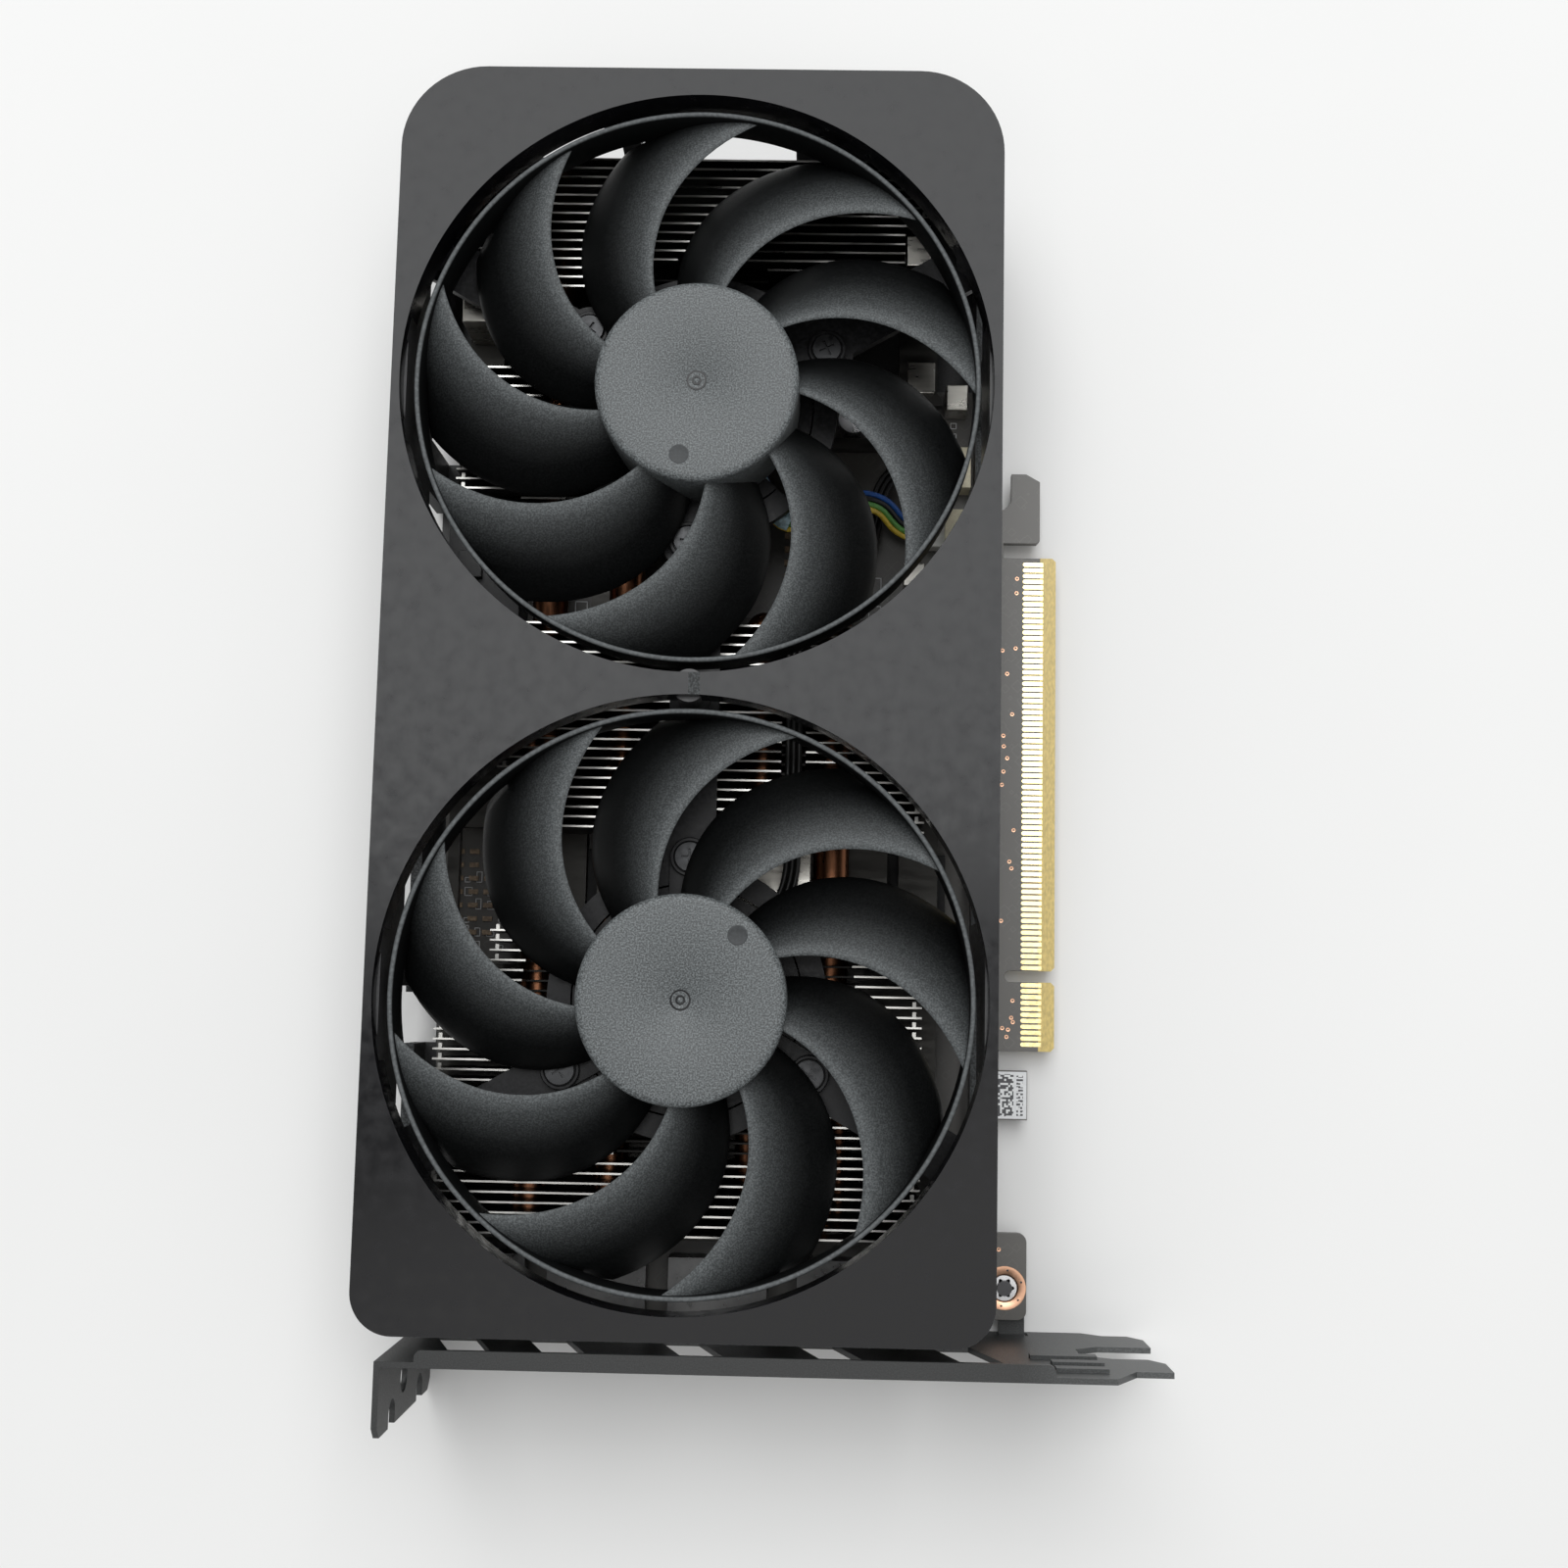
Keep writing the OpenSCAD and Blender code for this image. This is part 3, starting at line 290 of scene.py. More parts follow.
def principled(name, color, roughness, metallic=0.0, specular=0.5):
    """A plain shader, whose colour and bump the callers then link."""
    material = bpy.data.materials.new(name)
    material.use_nodes = True
    shader = material.node_tree.nodes["Principled BSDF"]
    shader.inputs["Base Color"].default_value = (*color, 1.0)
    shader.inputs["Roughness"].default_value = roughness
    shader.inputs["Metallic"].default_value = metallic
    shader.inputs["Specular IOR Level"].default_value = specular
    return material


def shader_of(material):
    return material.node_tree.nodes["Principled BSDF"]


def coordinates(material, stretch=(1, 1, 1)):
    """The object's own coordinates, stretched along its axes."""
    tree = material.node_tree
    place = tree.nodes.new("ShaderNodeTexCoord")
    mapping = tree.nodes.new("ShaderNodeMapping")
    mapping.inputs["Scale"].default_value = stretch
    tree.links.new(place.outputs["Object"], mapping.inputs["Vector"])
    return mapping.outputs["Vector"]


def noise(material, size_mm, detail=2.0, stretch=(1, 1, 1), roughness=0.5):
    """Noise whose features are about size_mm across."""
    tree = material.node_tree
    node = tree.nodes.new("ShaderNodeTexNoise")
    node.inputs["Scale"].default_value = 1.0 / (size_mm * MM)
    node.inputs["Detail"].default_value = detail
    node.inputs["Roughness"].default_value = roughness
    tree.links.new(coordinates(material, stretch), node.inputs["Vector"])
    return node.outputs["Fac"]


def ramp(material, value, stops):
    """Colour ramp with (position, colour) stops."""
    tree = material.node_tree
    node = tree.nodes.new("ShaderNodeValToRGB")
    elements = node.color_ramp.elements
    elements[0].position, elements[0].color = stops[0][0], (*stops[0][1], 1)
    elements[1].position, elements[1].color = stops[-1][0], (*stops[-1][1], 1)
    for position, color in stops[1:-1]:
        extra = elements.new(position)
        extra.color = (*color, 1)
    tree.links.new(value, node.inputs["Fac"])
    return node.outputs["Color"]


def painted_light_along(material, color, stops, origin=0.0, axis="Z"):
    """Painted light and shade: the colour times a grey that changes along an axis; stops are (place
    in mm, gain).
    """
    tree = material.node_tree
    low, high = stops[0][0], stops[-1][0]
    place = tree.nodes.new("ShaderNodeTexCoord")
    split = tree.nodes.new("ShaderNodeSeparateXYZ")
    tree.links.new(place.outputs["Object"], split.inputs["Vector"])
    reach = tree.nodes.new("ShaderNodeMapRange")
    reach.inputs["From Min"].default_value = (low - origin) * MM
    reach.inputs["From Max"].default_value = (high - origin) * MM
    tree.links.new(split.outputs[axis], reach.inputs["Value"])
    painted_light_gains = ramp(material, reach.outputs["Result"], [
        ((at - low) / (high - low), (gain, gain, gain)) for at, gain in stops])
    mix = tree.nodes.new("ShaderNodeMix")
    mix.data_type = "RGBA"
    mix.blend_type = "MULTIPLY"
    mix.inputs["Factor"].default_value = 1.0
    tree.links.new(color, mix.inputs["A"])
    tree.links.new(painted_light_gains, mix.inputs["B"])
    return mix.outputs["Result"]


def tint(color, gain):
    return tuple(min(1.0, c * gain) for c in color)


def paint(material, socket):
    material.node_tree.links.new(socket, shader_of(material).inputs["Base Color"])


def vary_roughness(material, value, low, high):
    """Roughness that follows the value between two limits."""
    tree = material.node_tree
    node = tree.nodes.new("ShaderNodeMapRange")
    node.inputs["From Min"].default_value = 0.3
    node.inputs["From Max"].default_value = 0.7
    node.inputs["To Min"].default_value = low
    node.inputs["To Max"].default_value = high
    tree.links.new(value, node.inputs["Value"])
    tree.links.new(node.outputs["Result"], shader_of(material).inputs["Roughness"])


def emboss(material, value, depth_mm, strength=0.5):
    tree = material.node_tree
    node = tree.nodes.new("ShaderNodeBump")
    node.inputs["Distance"].default_value = depth_mm * MM
    node.inputs["Strength"].default_value = strength
    tree.links.new(value, node.inputs["Height"])
    tree.links.new(node.outputs["Normal"], shader_of(material).inputs["Normal"])


def moulded(name, color, roughness, grain_mm, grain_depth, contrast=0.25, specular=0.5,
            painted_light_gains=None, origin=0.0, axis="Z"):
    """Moulded plastic with a fine spark-eroded grain; along an axis, an optional grey multiplier
    paints light and shade into the colour.
    """
    material = principled(name, color, roughness, specular=specular)
    grain = noise(material, grain_mm, 2.0)
    speckle = ramp(material, grain, [
        (0.38, tint(color, 1 - contrast)), (0.5, color), (0.64, tint(color, 1 + 1.7 * contrast))])
    if painted_light_gains:
        speckle = painted_light_along(material, speckle, painted_light_gains, origin, axis)
    paint(material, speckle)
    vary_roughness(material, grain, roughness - 0.06, roughness + 0.08)
    emboss(material, grain, grain_depth)
    return material


def polished_metal(name, color, roughness, streak=(1, 1, 1), size_mm=1.2, contrast=0.12,
                   painted_light_gains=None, origin=0.0):
    """Metal with slight streaks in colour and gloss; along an axis, an optional grey multiplier
    paints light and shade into the colour.
    """
    material = principled(name, color, roughness, metallic=1.0)
    streaks = noise(material, size_mm, 3.0, streak)
    streaky = ramp(material, streaks, [
        (0.3, tint(color, 1 - contrast)), (0.7, tint(color, 1 + contrast))])
    if painted_light_gains:
        streaky = painted_light_along(material, streaky, painted_light_gains, origin)
    paint(material, streaky)
    vary_roughness(material, streaks, roughness * 0.75, roughness * 1.3)
    emboss(material, streaks, 0.01, 0.3)
    return material


# Painted light and shade over a place in mm, as (place, gain): painted highlight on the blades'
# leading edges falling to painted shade at their trailing edges, painted highlights on the rings'
# top edges and bottom lips with painted shade between, painted shade on the fins below their top
# edges, painted light on the shroud's walls towards the bracket end and on the bracket towards its
# prongs
BLADE_PAINTED_HIGHLIGHT_AND_SHADE = [(LEAD_Z - 9.0, 0.05), (LEAD_Z - 4.8, 0.065), (LEAD_Z - 2.9, 0.14),
                 (LEAD_Z - 1.6, 0.3), (LEAD_Z - 0.5, 0.55), (LEAD_Z + 0.1, 1.0)]
RING_PAINTED_HIGHLIGHTS = [(RING_Z0, 0.2), (RING_Z0 + 0.4, 0.03), (RING_Z1 - 0.4, 0.05), (RING_Z1 - 0.05, 1.0)]
FIN_PAINTED_SHADE = [(FIN_TOP - 1.2, 0.03), (FIN_TOP - 0.3, 0.06), (FIN_TOP - 0.08, 1.0)]
SHROUD_PAINTED_LIGHT = [(-97.0, 1.4), (-60.0, 1.12), (-25.0, 1.0)]
BRACKET_PAINTED_LIGHT = [(38.0, 1.0), (44.0, 2.1), (62.0, 3.4)]
FIN_ORIGIN = NODES["near_fins"].matrix_world.translation.z / MM
BRACKET_ORIGIN = NODES["slot_bracket"].matrix_world.translation.x / MM

# Painted light: the shroud grows lighter towards the bracket end
SHROUD = moulded("shroud_charcoal_painted_light", (0.034, 0.0365, 0.0375), 0.52, 0.3, 0.02, 0.6, 0.2,
                 SHROUD_PAINTED_LIGHT, axis="Y")
SHROUD_INNER = moulded("shroud_inner_wall", (0.06, 0.06, 0.062), 0.36, 0.8, 0.01, 0.1, 0.4)
COLLAR = moulded("collar_gloss_black", (0.004, 0.004, 0.005), 0.2, 2.5, 0.004, 0.1, 0.3)
HUB = moulded("hub_speckled_gray", (0.086, 0.094, 0.0965), 0.5, 0.26, 0.03, 0.5, 0.45)
HUB_SPOT = moulded("hub_spot_dark", (0.03, 0.033, 0.035), 0.42, 0.5, 0.01, 0.2, 0.3)
# Painted highlight along the blades' leading edges, falling to painted shade towards their trailing
# edges
BLADE = moulded("blade_satin_black_painted_shade", (0.074, 0.080, 0.082), 0.4, 0.26, 0.014, 0.3, 0.14,
                BLADE_PAINTED_HIGHLIGHT_AND_SHADE)
# Painted highlights on the ring's top edge and bottom lip, painted shade on the wall between
RING = moulded("blade_ring_satin_painted_highlight", (0.10, 0.107, 0.11), 0.45, 0.5, 0.01, 0.15, 0.12, RING_PAINTED_HIGHLIGHTS)
FRAME_PLASTIC = moulded("fan_frame_black", (0.012, 0.012, 0.013), 0.42, 0.6, 0.02, 0.3, 0.25)
SOCKET_BLACK = moulded("socket_black", (0.015, 0.015, 0.016), 0.4, 0.6, 0.015, 0.2)
CREAM = moulded("socket_cream", (0.62, 0.57, 0.42), 0.45, 0.8, 0.01, 0.05)
PLUG_WHITE = moulded("plug_white", (0.68, 0.68, 0.64), 0.45, 0.8, 0.01, 0.05)
CHIP = moulded("chip_black", (0.012, 0.012, 0.013), 0.55, 0.25, 0.01, 0.2)
CHOKE = moulded("inductor_grey", (0.09, 0.09, 0.095), 0.6, 0.35, 0.02, 0.3)
PAD = moulded("thermal_pad", (0.28, 0.31, 0.36), 0.75, 0.6, 0.03, 0.12)
MAGNET = moulded("magnet_ferrite", (0.03, 0.028, 0.027), 0.6, 0.5, 0.02, 0.2)
FAN_BOARD = moulded("fan_board_green", (0.02, 0.09, 0.04), 0.4, 0.9, 0.01, 0.2)
SUBSTRATE = moulded("substrate_green", (0.02, 0.10, 0.05), 0.4, 0.8, 0.01, 0.15)
SMALL_PARTS = moulded("ceramic_tan", (0.32, 0.23, 0.15), 0.5, 0.6, 0.01, 0.25)
# Painted light: the bracket grows lighter towards its prongs
BRACKET = moulded("bracket_black", (0.019, 0.02, 0.02), 0.42, 0.22, 0.015, 0.3, 0.45,
                  BRACKET_PAINTED_LIGHT, BRACKET_ORIGIN, "X")
BACKPLATE = moulded("backplate_black", (0.02, 0.02, 0.021), 0.4, 0.25, 0.012, 0.25, 0.4)

STEEL = polished_metal("steel", (0.56, 0.56, 0.57), 0.28)
SCREW_STEEL = polished_metal("fan_screw_steel", (0.055, 0.056, 0.058), 0.45)
DARK_STEEL = polished_metal("dark_steel", (0.08, 0.08, 0.083), 0.42)
NICKEL = polished_metal("nickel", (0.62, 0.60, 0.55), 0.3, (0.15, 1, 1))
DULL_NICKEL = polished_metal("dull_nickel", (0.07, 0.068, 0.064), 0.45, (0.15, 1, 1))
# Painted shade on the fins' sides, bright only along their top edges
FIN = polished_metal("fin_metal", (0.66, 0.65, 0.62), 0.32, (0.2, 1, 1), 2.0, 0.25, FIN_PAINTED_SHADE,
                     FIN_ORIGIN)
# Heat-pipe copper darkened far below bare copper: painted shade deep in the cooler
PIPE_COPPER_PAINTED_SHADE = polished_metal("copper", (0.25, 0.11, 0.058), 0.3, (1, 0.2, 1))
PAD_COPPER = polished_metal("pad_copper", (0.75, 0.44, 0.29), 0.38, (1, 1, 1), 1.0, 0.06)
GOLD = polished_metal("contact_gold", (1.0, 0.80, 0.40), 0.22, (1, 1, 1), 0.7, 0.08)
BRASS = polished_metal("brass", (0.78, 0.62, 0.3), 0.3)
WINDING = polished_metal("winding_copper", (0.7, 0.33, 0.16), 0.35, (1, 1, 6), 0.4, 0.3)
CAN = polished_metal("aluminium_can", (0.5, 0.5, 0.51), 0.3)
# Port shells darkened far below plated steel: painted shade
PORT_SHELL_PAINTED_SHADE = polished_metal("plated_shell", (0.13, 0.13, 0.13), 0.34)
SILICON = polished_metal("silicon", (0.32, 0.33, 0.36), 0.12)


def board_material():
    """Dark solder mask with faint routed traces under it."""
    material = principled("board_solder_mask", (0.11, 0.107, 0.099), 0.38)
    tree = material.node_tree
    cells = tree.nodes.new("ShaderNodeTexVoronoi")
    cells.distance = "MANHATTAN"
    cells.feature = "F1"
    cells.inputs["Scale"].default_value = 1 / (2.4 * MM)
    tree.links.new(coordinates(material), cells.inputs["Vector"])
    broad = noise(material, 9.0, 1.0)
    mask = (0.110, 0.105, 0.097)
    traces = ramp(material, cells.outputs["Distance"], [
        (0.44, mask), (0.5, tint(mask, 1.45)), (0.56, mask)])
    mix = tree.nodes.new("ShaderNodeMix")
    mix.data_type = "RGBA"
    tree.links.new(broad, mix.inputs["Factor"])
    tree.links.new(traces, mix.inputs["A"])
    mix.inputs["B"].default_value = (*tint(mask, 0.85), 1)
    paint(material, mix.outputs["Result"])
    emboss(material, noise(material, 0.7, 2.0), 0.006)
    return material


def bare_board_material():
    """Yellow glass-fibre laminate where the solder mask ends."""
    color = (0.62, 0.47, 0.15)
    material = principled("bare_laminate", color, 0.35)
    weave = noise(material, 0.35, 2.0, (1, 0.4, 1))
    paint(material, ramp(material, weave, [(0.3, tint(color, 0.8)), (0.7, tint(color, 1.15))]))
    emboss(material, weave, 0.01)
    return material


def label_material():
    """White label whose print is a generic pattern of little blocks."""
    paper = (0.78, 0.79, 0.79)
    ink = (0.05, 0.05, 0.055)
    material = principled("label_print", paper, 0.42)
    tree = material.node_tree
    cells = tree.nodes.new("ShaderNodeTexVoronoi")
    cells.distance = "CHEBYCHEV"
    cells.inputs["Scale"].default_value = 1 / (0.34 * MM)
    cells.inputs["Randomness"].default_value = 0.0
    tree.links.new(coordinates(material), cells.inputs["Vector"])
    split = tree.nodes.new("ShaderNodeSeparateColor")
    tree.links.new(cells.outputs["Color"], split.inputs["Color"])
    paint(material, ramp(material, split.outputs["Red"], [(0.49, paper), (0.5, ink)]))
    return material


MASK = board_material()
LAMINATE = bare_board_material()
PRINT = label_material()
PAPER = moulded("label_paper", (0.74, 0.75, 0.76), 0.45, 1.2, 0.005, 0.03)
WIRE = {
    "blue": moulded("wire_blue", (0.02, 0.10, 0.38), 0.4, 0.9, 0.01, 0.1),
    "green": moulded("wire_green", (0.12, 0.36, 0.08), 0.4, 0.9, 0.01, 0.1),
    "yellow": moulded("wire_yellow", (0.70, 0.50, 0.05), 0.4, 0.9, 0.01, 0.1),
    "black": moulded("wire_black", (0.012, 0.012, 0.012), 0.4, 0.9, 0.01, 0.1),
}
SLEEVE = moulded("lead_sleeve_pale_blue", (0.42, 0.58, 0.64), 0.45, 0.9, 0.01, 0.25)


# ---------------------------------------------------------------- shroud

NEAR_CORNER_R = 6.5
FAR_CORNER_R = 13.5
SHELL_Z0 = 1.4
# Windows and gaps in the side walls, as (start, end) along Y
SIDE_WINDOWS = ((-80, -40), (-28, 12), (20, 58), (66, 93))
RIGHT_ONLY_WINDOW = SIDE_WINDOWS[2]
SIDE_WINDOW_Z = (10, 22)
LEFT_GAPS = ((-49.5, -41), (52.5, 58.5))
LEFT_GAP_TOP = 16
POWER_GAP = (19.5, 43.5)
POWER_GAP_TOP = 16.2
BRACKET_END_TOP = 11
BOARD_GAP_TOP = 6
EXHAUST_X = (-42.75, -12.6)
COLLAR_Z = 34.0
COLLAR_HALF_WIDTH = 45.8
FRAME_POST_REACH = 51.2
FRAME_POST_ANGLE = math.radians(30)
# Material slots of the shell after its first, the grained outside
GLOSS_SLOT = 1
INNER_SLOT = 2


def shroud_outline(inset):
    return round_rect(SHROUD_LO.x + inset, SHROUD_LO.y + inset, SHROUD_HI.x - inset,
                      SHROUD_HI.y - inset, NEAR_CORNER_R - inset, FAR_CORNER_R - inset, 16)


def solid_box(x0, y0, z0, x1, y1, z1):
    bm = bmesh.new()
    add_prism(bm, [(x0, y0), (x1, y0), (x1, y1), (x0, y1)], z0, z1)
    return bm


def solid_cylinder(centre, radius, z0, z1, segments=160):
    bm = bmesh.new()
    add_prism(bm, [(centre[0] + radius * math.cos(2 * math.pi * i / segments),
                    centre[1] + radius * math.sin(2 * math.pi * i / segments))
                   for i in range(segments)], z0, z1)
    return bm


def exhaust_window(centre_x):
    """A far-end window with one clipped upper corner, cut along Y."""
    outline = [(-13.4, 6), (13.4, 6), (13.4, 20), (10.4, 23), (-13.4, 23)]
    bm = bmesh.new()
    low = [bm.verts.new((centre_x + x, SHROUD_HI.y + 1, z)) for x, z in outline]
    high = [bm.verts.new((centre_x + x, SHROUD_HI.y - 8, z)) for x, z in outline]
    ring_faces(bm, [low, high])
    bm.faces.new(low[::-1])
    bm.faces.new(high)
    return bm


def make_shroud():
    """The shell: fan openings, side and exhaust windows, gaps for the board and the power plug."""
    x0, x1 = SHROUD_LO.x, SHROUD_HI.x
    y0, y1 = SHROUD_LO.y, SHROUD_HI.y
    plate_z = FRONT_Z - PLATE_T
    body = bmesh.new()
    add_prism(body, shroud_outline(0), SHELL_Z0, FRONT_Z)
    shell = link("shroud_shell", to_mesh("shroud_shell", body))
    inner = bmesh.new()
    add_prism(inner, shroud_outline(WALL), 0, plate_z)
    power_y0, power_y1 = POWER_GAP
    cutters = [
        inner,
        solid_box(x0 + 6, y0 - 1, 0, x1 - 6, y0 + 5, plate_z),
        solid_box(x0 - 1, y0 - 1, 0, x1 + 1, y0 + 8, BRACKET_END_TOP),
        solid_box(x1 - 6, y0 - 1, 0, x1 + 1, BOARD_HI.y + 4, BOARD_GAP_TOP),
        solid_box(x0 - 1, power_y0, 0, x0 + 4, power_y1, POWER_GAP_TOP),
        solid_cylinder(NEAR_AXIS, OPENING_R, plate_z - 1, FRONT_Z + 1),
        solid_cylinder(FAR_AXIS, OPENING_R, plate_z - 1, FRONT_Z + 1),
    ]
    low, high = SIDE_WINDOW_Z
    for start, end in SIDE_WINDOWS:
        cutters.append(solid_box(x1 - 4, start, low, x1 + 1, end, high))
        if (start, end) != RIGHT_ONLY_WINDOW:
            cutters.append(solid_box(x0 - 1, start, low, x0 + 4, end, high))
    for start, end in LEFT_GAPS:
        cutters.append(solid_box(x0 - 1, start, 0, x0 + 4, end, LEFT_GAP_TOP))
    for centre_x in EXHAUST_X:
        cutters.append(exhaust_window(centre_x))
    carve(shell, cutters)
    round_edges(shell, 0.7, 4)
    bake_modifiers(shell)
    for material in (SHROUD, COLLAR, SHROUD_INNER):
        shell.data.materials.append(material)
    for poly in shell.data.polygons:
        centre = poly.center / MM
        radii = [math.hypot(centre.x - a.x, centre.y - a.y) for a in (NEAR_AXIS, FAR_AXIS)]
        if centre.z > plate_z - 0.5 and min(radii) < OPENING_R + 0.3:
            poly.material_index = GLOSS_SLOT
        elif (x0 + 1.2 < centre.x < x1 - 1.2 and y0 + 1.2 < centre.y < y1 - 1.2
                and centre.z < FRONT_Z - 0.6):
            poly.material_index = INNER_SLOT
    finish_piece(shell, CARD, [], ["shroud"])


def make_collars():
    """A collar under each fan opening, cut flat where it would reach the side walls."""
    plate_z = FRONT_Z - PLATE_T
    for fan, axis in FAN_CENTRE.items():
        bm = bmesh.new()
        add_lathe(bm, axis, [
            (OPENING_R + 1.1, plate_z), (OPENING_R + 1.1, COLLAR_Z + 0.3),
            (OPENING_R + 0.8, COLLAR_Z), (OPENING_R + 0.25, COLLAR_Z),
            (OPENING_R, COLLAR_Z + 0.25), (OPENING_R, plate_z)], 160, closed=True)
        collar = link(fan + "_opening_collar", to_mesh("collar", bm))
        carve(collar, [solid_box(FAN_X - COLLAR_HALF_WIDTH, axis.y - 60, 30,
                                 FAN_X + COLLAR_HALF_WIDTH, axis.y + 60, 40)], "INTERSECT")
        shade(collar.data)
        finish_piece(collar, CARD, [COLLAR], ["shroud"])


def make_posts():
    """Posts along the walls, and the ones that the fan frames hang from."""
    x0, x1 = SHROUD_LO.x, SHROUD_HI.x
    plate_z = FRONT_Z - PLATE_T
    posts = bmesh.new()
    for x, y in ((x0 + 4.6, 99.6), (x1 - 4.6, 99.6), (x0 + 4, MID_Y), (x1 - 4, MID_Y),
                 (x0 + 4, -79.5), (x1 - 4, -79.5)):
        add_lathe(posts, (x, y), [(0, 1), (2.3, 1), (2.6, 1.3), (2.6, plate_z), (0, plate_z)], 32)
    for x, y in frame_posts():
        add_lathe(posts, (x, y), [(0, ARM_TOP), (2.4, ARM_TOP), (2.6, ARM_TOP + 0.2),
                                  (2.6, plate_z), (0, plate_z)], 32)
    piece("shroud_posts", posts, CARD, [SHROUD_INNER], ["shroud"])


def frame_posts():
    """Where the fan frames hang from the shroud."""
    places = [(FAN_X, MID_Y)]
    for fan, axis in FAN_CENTRE.items():
        for side in (1, -1):
            places.append((FAN_X + side * FRAME_POST_REACH * math.cos(FRAME_POST_ANGLE),
                           axis.y + FAN_DIR[fan] * FRAME_POST_REACH * math.sin(FRAME_POST_ANGLE)))
    return places


# ---------------------------------------------------------------- fans

BLADE_CHORD = 30.0
BALANCE_SPOT = {"far": (-2.5, -12.0), "near": (8.5, 10.0)}


def sweep(r):
    """Angle in degrees that a blade's leading edge trails at radius r."""
    d = r - HUB_R
    return -d * (0.853 + 0.0165 * d)


def blade_section(count=14):
    """Chord fractions and thickness signs round one blade section, nose at the middle."""
    steps = [0.5 - 0.5 * math.cos(math.pi * i / count) for i in range(count + 1)]
    return [(c, 1) for c in reversed(steps)] + [(c, -1) for c in steps[1:-1]]


def half_thickness(c):
    nose = math.sqrt(min(1.0, c / 0.05))
    tail = math.sqrt(min(1.0, (1 - c) / 0.05))
    return min(nose, tail) * (0.32 + 0.5 * c * (1 - c))


def add_blade(bm, centre, phase, rows=22):
    """One blade from inside the hub to the middle of the ring's wall."""
    rings = []
    inner, outer = HUB_R - 0.5, RING_R - RING_WALL / 2
    for i in range(rows + 1):
        u = i / rows
        r = inner + (outer - inner) * u
        chord = BLADE_CHORD * (1 + 0.06 * math.sin(math.pi * u))
        ring = []
        for c, side in blade_section():
            angle = math.radians(phase + sweep(r) + chord * c)
            z = LEAD_Z - BLADE_DROP * (0.3 * c + 0.7 * c * c) + side * half_thickness(c)
            ring.append(bm.verts.new((centre[0] + r * math.cos(angle),
                                      centre[1] + r * math.sin(angle), z)))
        rings.append(ring)
    ring_faces(bm, rings)
    bm.faces.new(rings[0][::-1])
    bm.faces.new(rings[-1])


def make_fan(fan):
    """Hub, marks on it, blades and ring of one rotor, and the bosses round its frame's screws."""
    axis = FAN_CENTRE[fan]
    body = fan + "_rotor"
    node = fan + "_impeller"
    top = HUB_TOP
    hub = bmesh.new()
    add_lathe(hub, axis, [
        (0, top + 0.02), (0.28, top + 0.02), (0.42, top - 0.06), (0.55, top - 0.1),
        (0.95, top - 0.1), (1.12, top - 0.02), (1.22, top), (1.42, top), (1.5, top - 0.07),
        (1.62, top - 0.07), (1.72, top), (14.9, top), (15.4, top - 0.05), (15.8, top - 0.19),
        (16.08, top - 0.42), (16.22, top - 0.75), (HUB_R, top - 1.1), (HUB_R, HUB_BOTTOM + 0.1),
        (HUB_R - 0.1, HUB_BOTTOM), (15.1, HUB_BOTTOM), (15.0, HUB_BOTTOM + 0.1),
        (15.0, top - 1.7), (0, top - 1.7)], 160)
    piece(fan + "_hub", hub, body, [HUB], [node], 50)

    marks = bmesh.new()
    for r in (0.62, 1.46):
        add_lathe(marks, axis, [(r - 0.13, top - 0.12), (r - 0.13, top + 0.03),
                                (r + 0.13, top + 0.03), (r + 0.13, top - 0.12)], 48, closed=True)
    piece(fan + "_gate_marks", marks, body, [COLLAR], [], 50)

    spot = bmesh.new()
    dx, dy = BALANCE_SPOT[fan]
    add_lathe(spot, (axis.x + dx, axis.y + dy), [
        (0, top + 0.012), (1.32, top + 0.012), (1.4, top + 0.03), (1.5, top + 0.03),
        (1.56, top + 0.005), (1.56, top - 0.1), (0, top - 0.1)], 48)
    piece(fan + "_balance_spot", spot, body, [HUB_SPOT], [], 50)

    blades = bmesh.new()
    for k in range(BLADES):
        add_blade(blades, axis, FAN_PHASE[fan] + 360 / BLADES * k)
    piece(fan + "_blades", blades, body, [BLADE], [node], 60)

    ring = bmesh.new()
    inner = RING_R - RING_WALL
    add_lathe(ring, axis, [
        (inner + 0.2, RING_Z0), (RING_R - 0.2, RING_Z0), (RING_R, RING_Z0 + 0.2),
        (RING_R, RING_Z1 - 0.3), (RING_R - 0.1, RING_Z1 - 0.1), (RING_R - 0.3, RING_Z1),
        (inner + 0.3, RING_Z1), (inner + 0.1, RING_Z1 - 0.1), (inner, RING_Z1 - 0.3),
        (inner, RING_Z0 + 0.2)], 192, closed=True)
    piece(fan + "_blade_ring", ring, body, [RING], [node])

    bosses = bmesh.new()
    z = EAR_TOP
    for a in EAR_ANGLES[fan]:
        x = axis.x + EAR_R * math.cos(math.radians(a))
        y = axis.y + EAR_R * math.sin(math.radians(a))
        add_lathe(bosses, (x, y), [
            (2.5, z - 0.05), (3.15, z - 0.05), (3.15, z + 0.5), (3.0, z + 0.65),
            (2.65, z + 0.65), (2.5, z + 0.5)], 40, closed=True)
    piece(fan + "_screw_bosses", bosses, CARD, [FRAME_PLASTIC])


# ---------------------------------------------------------------- fan leads

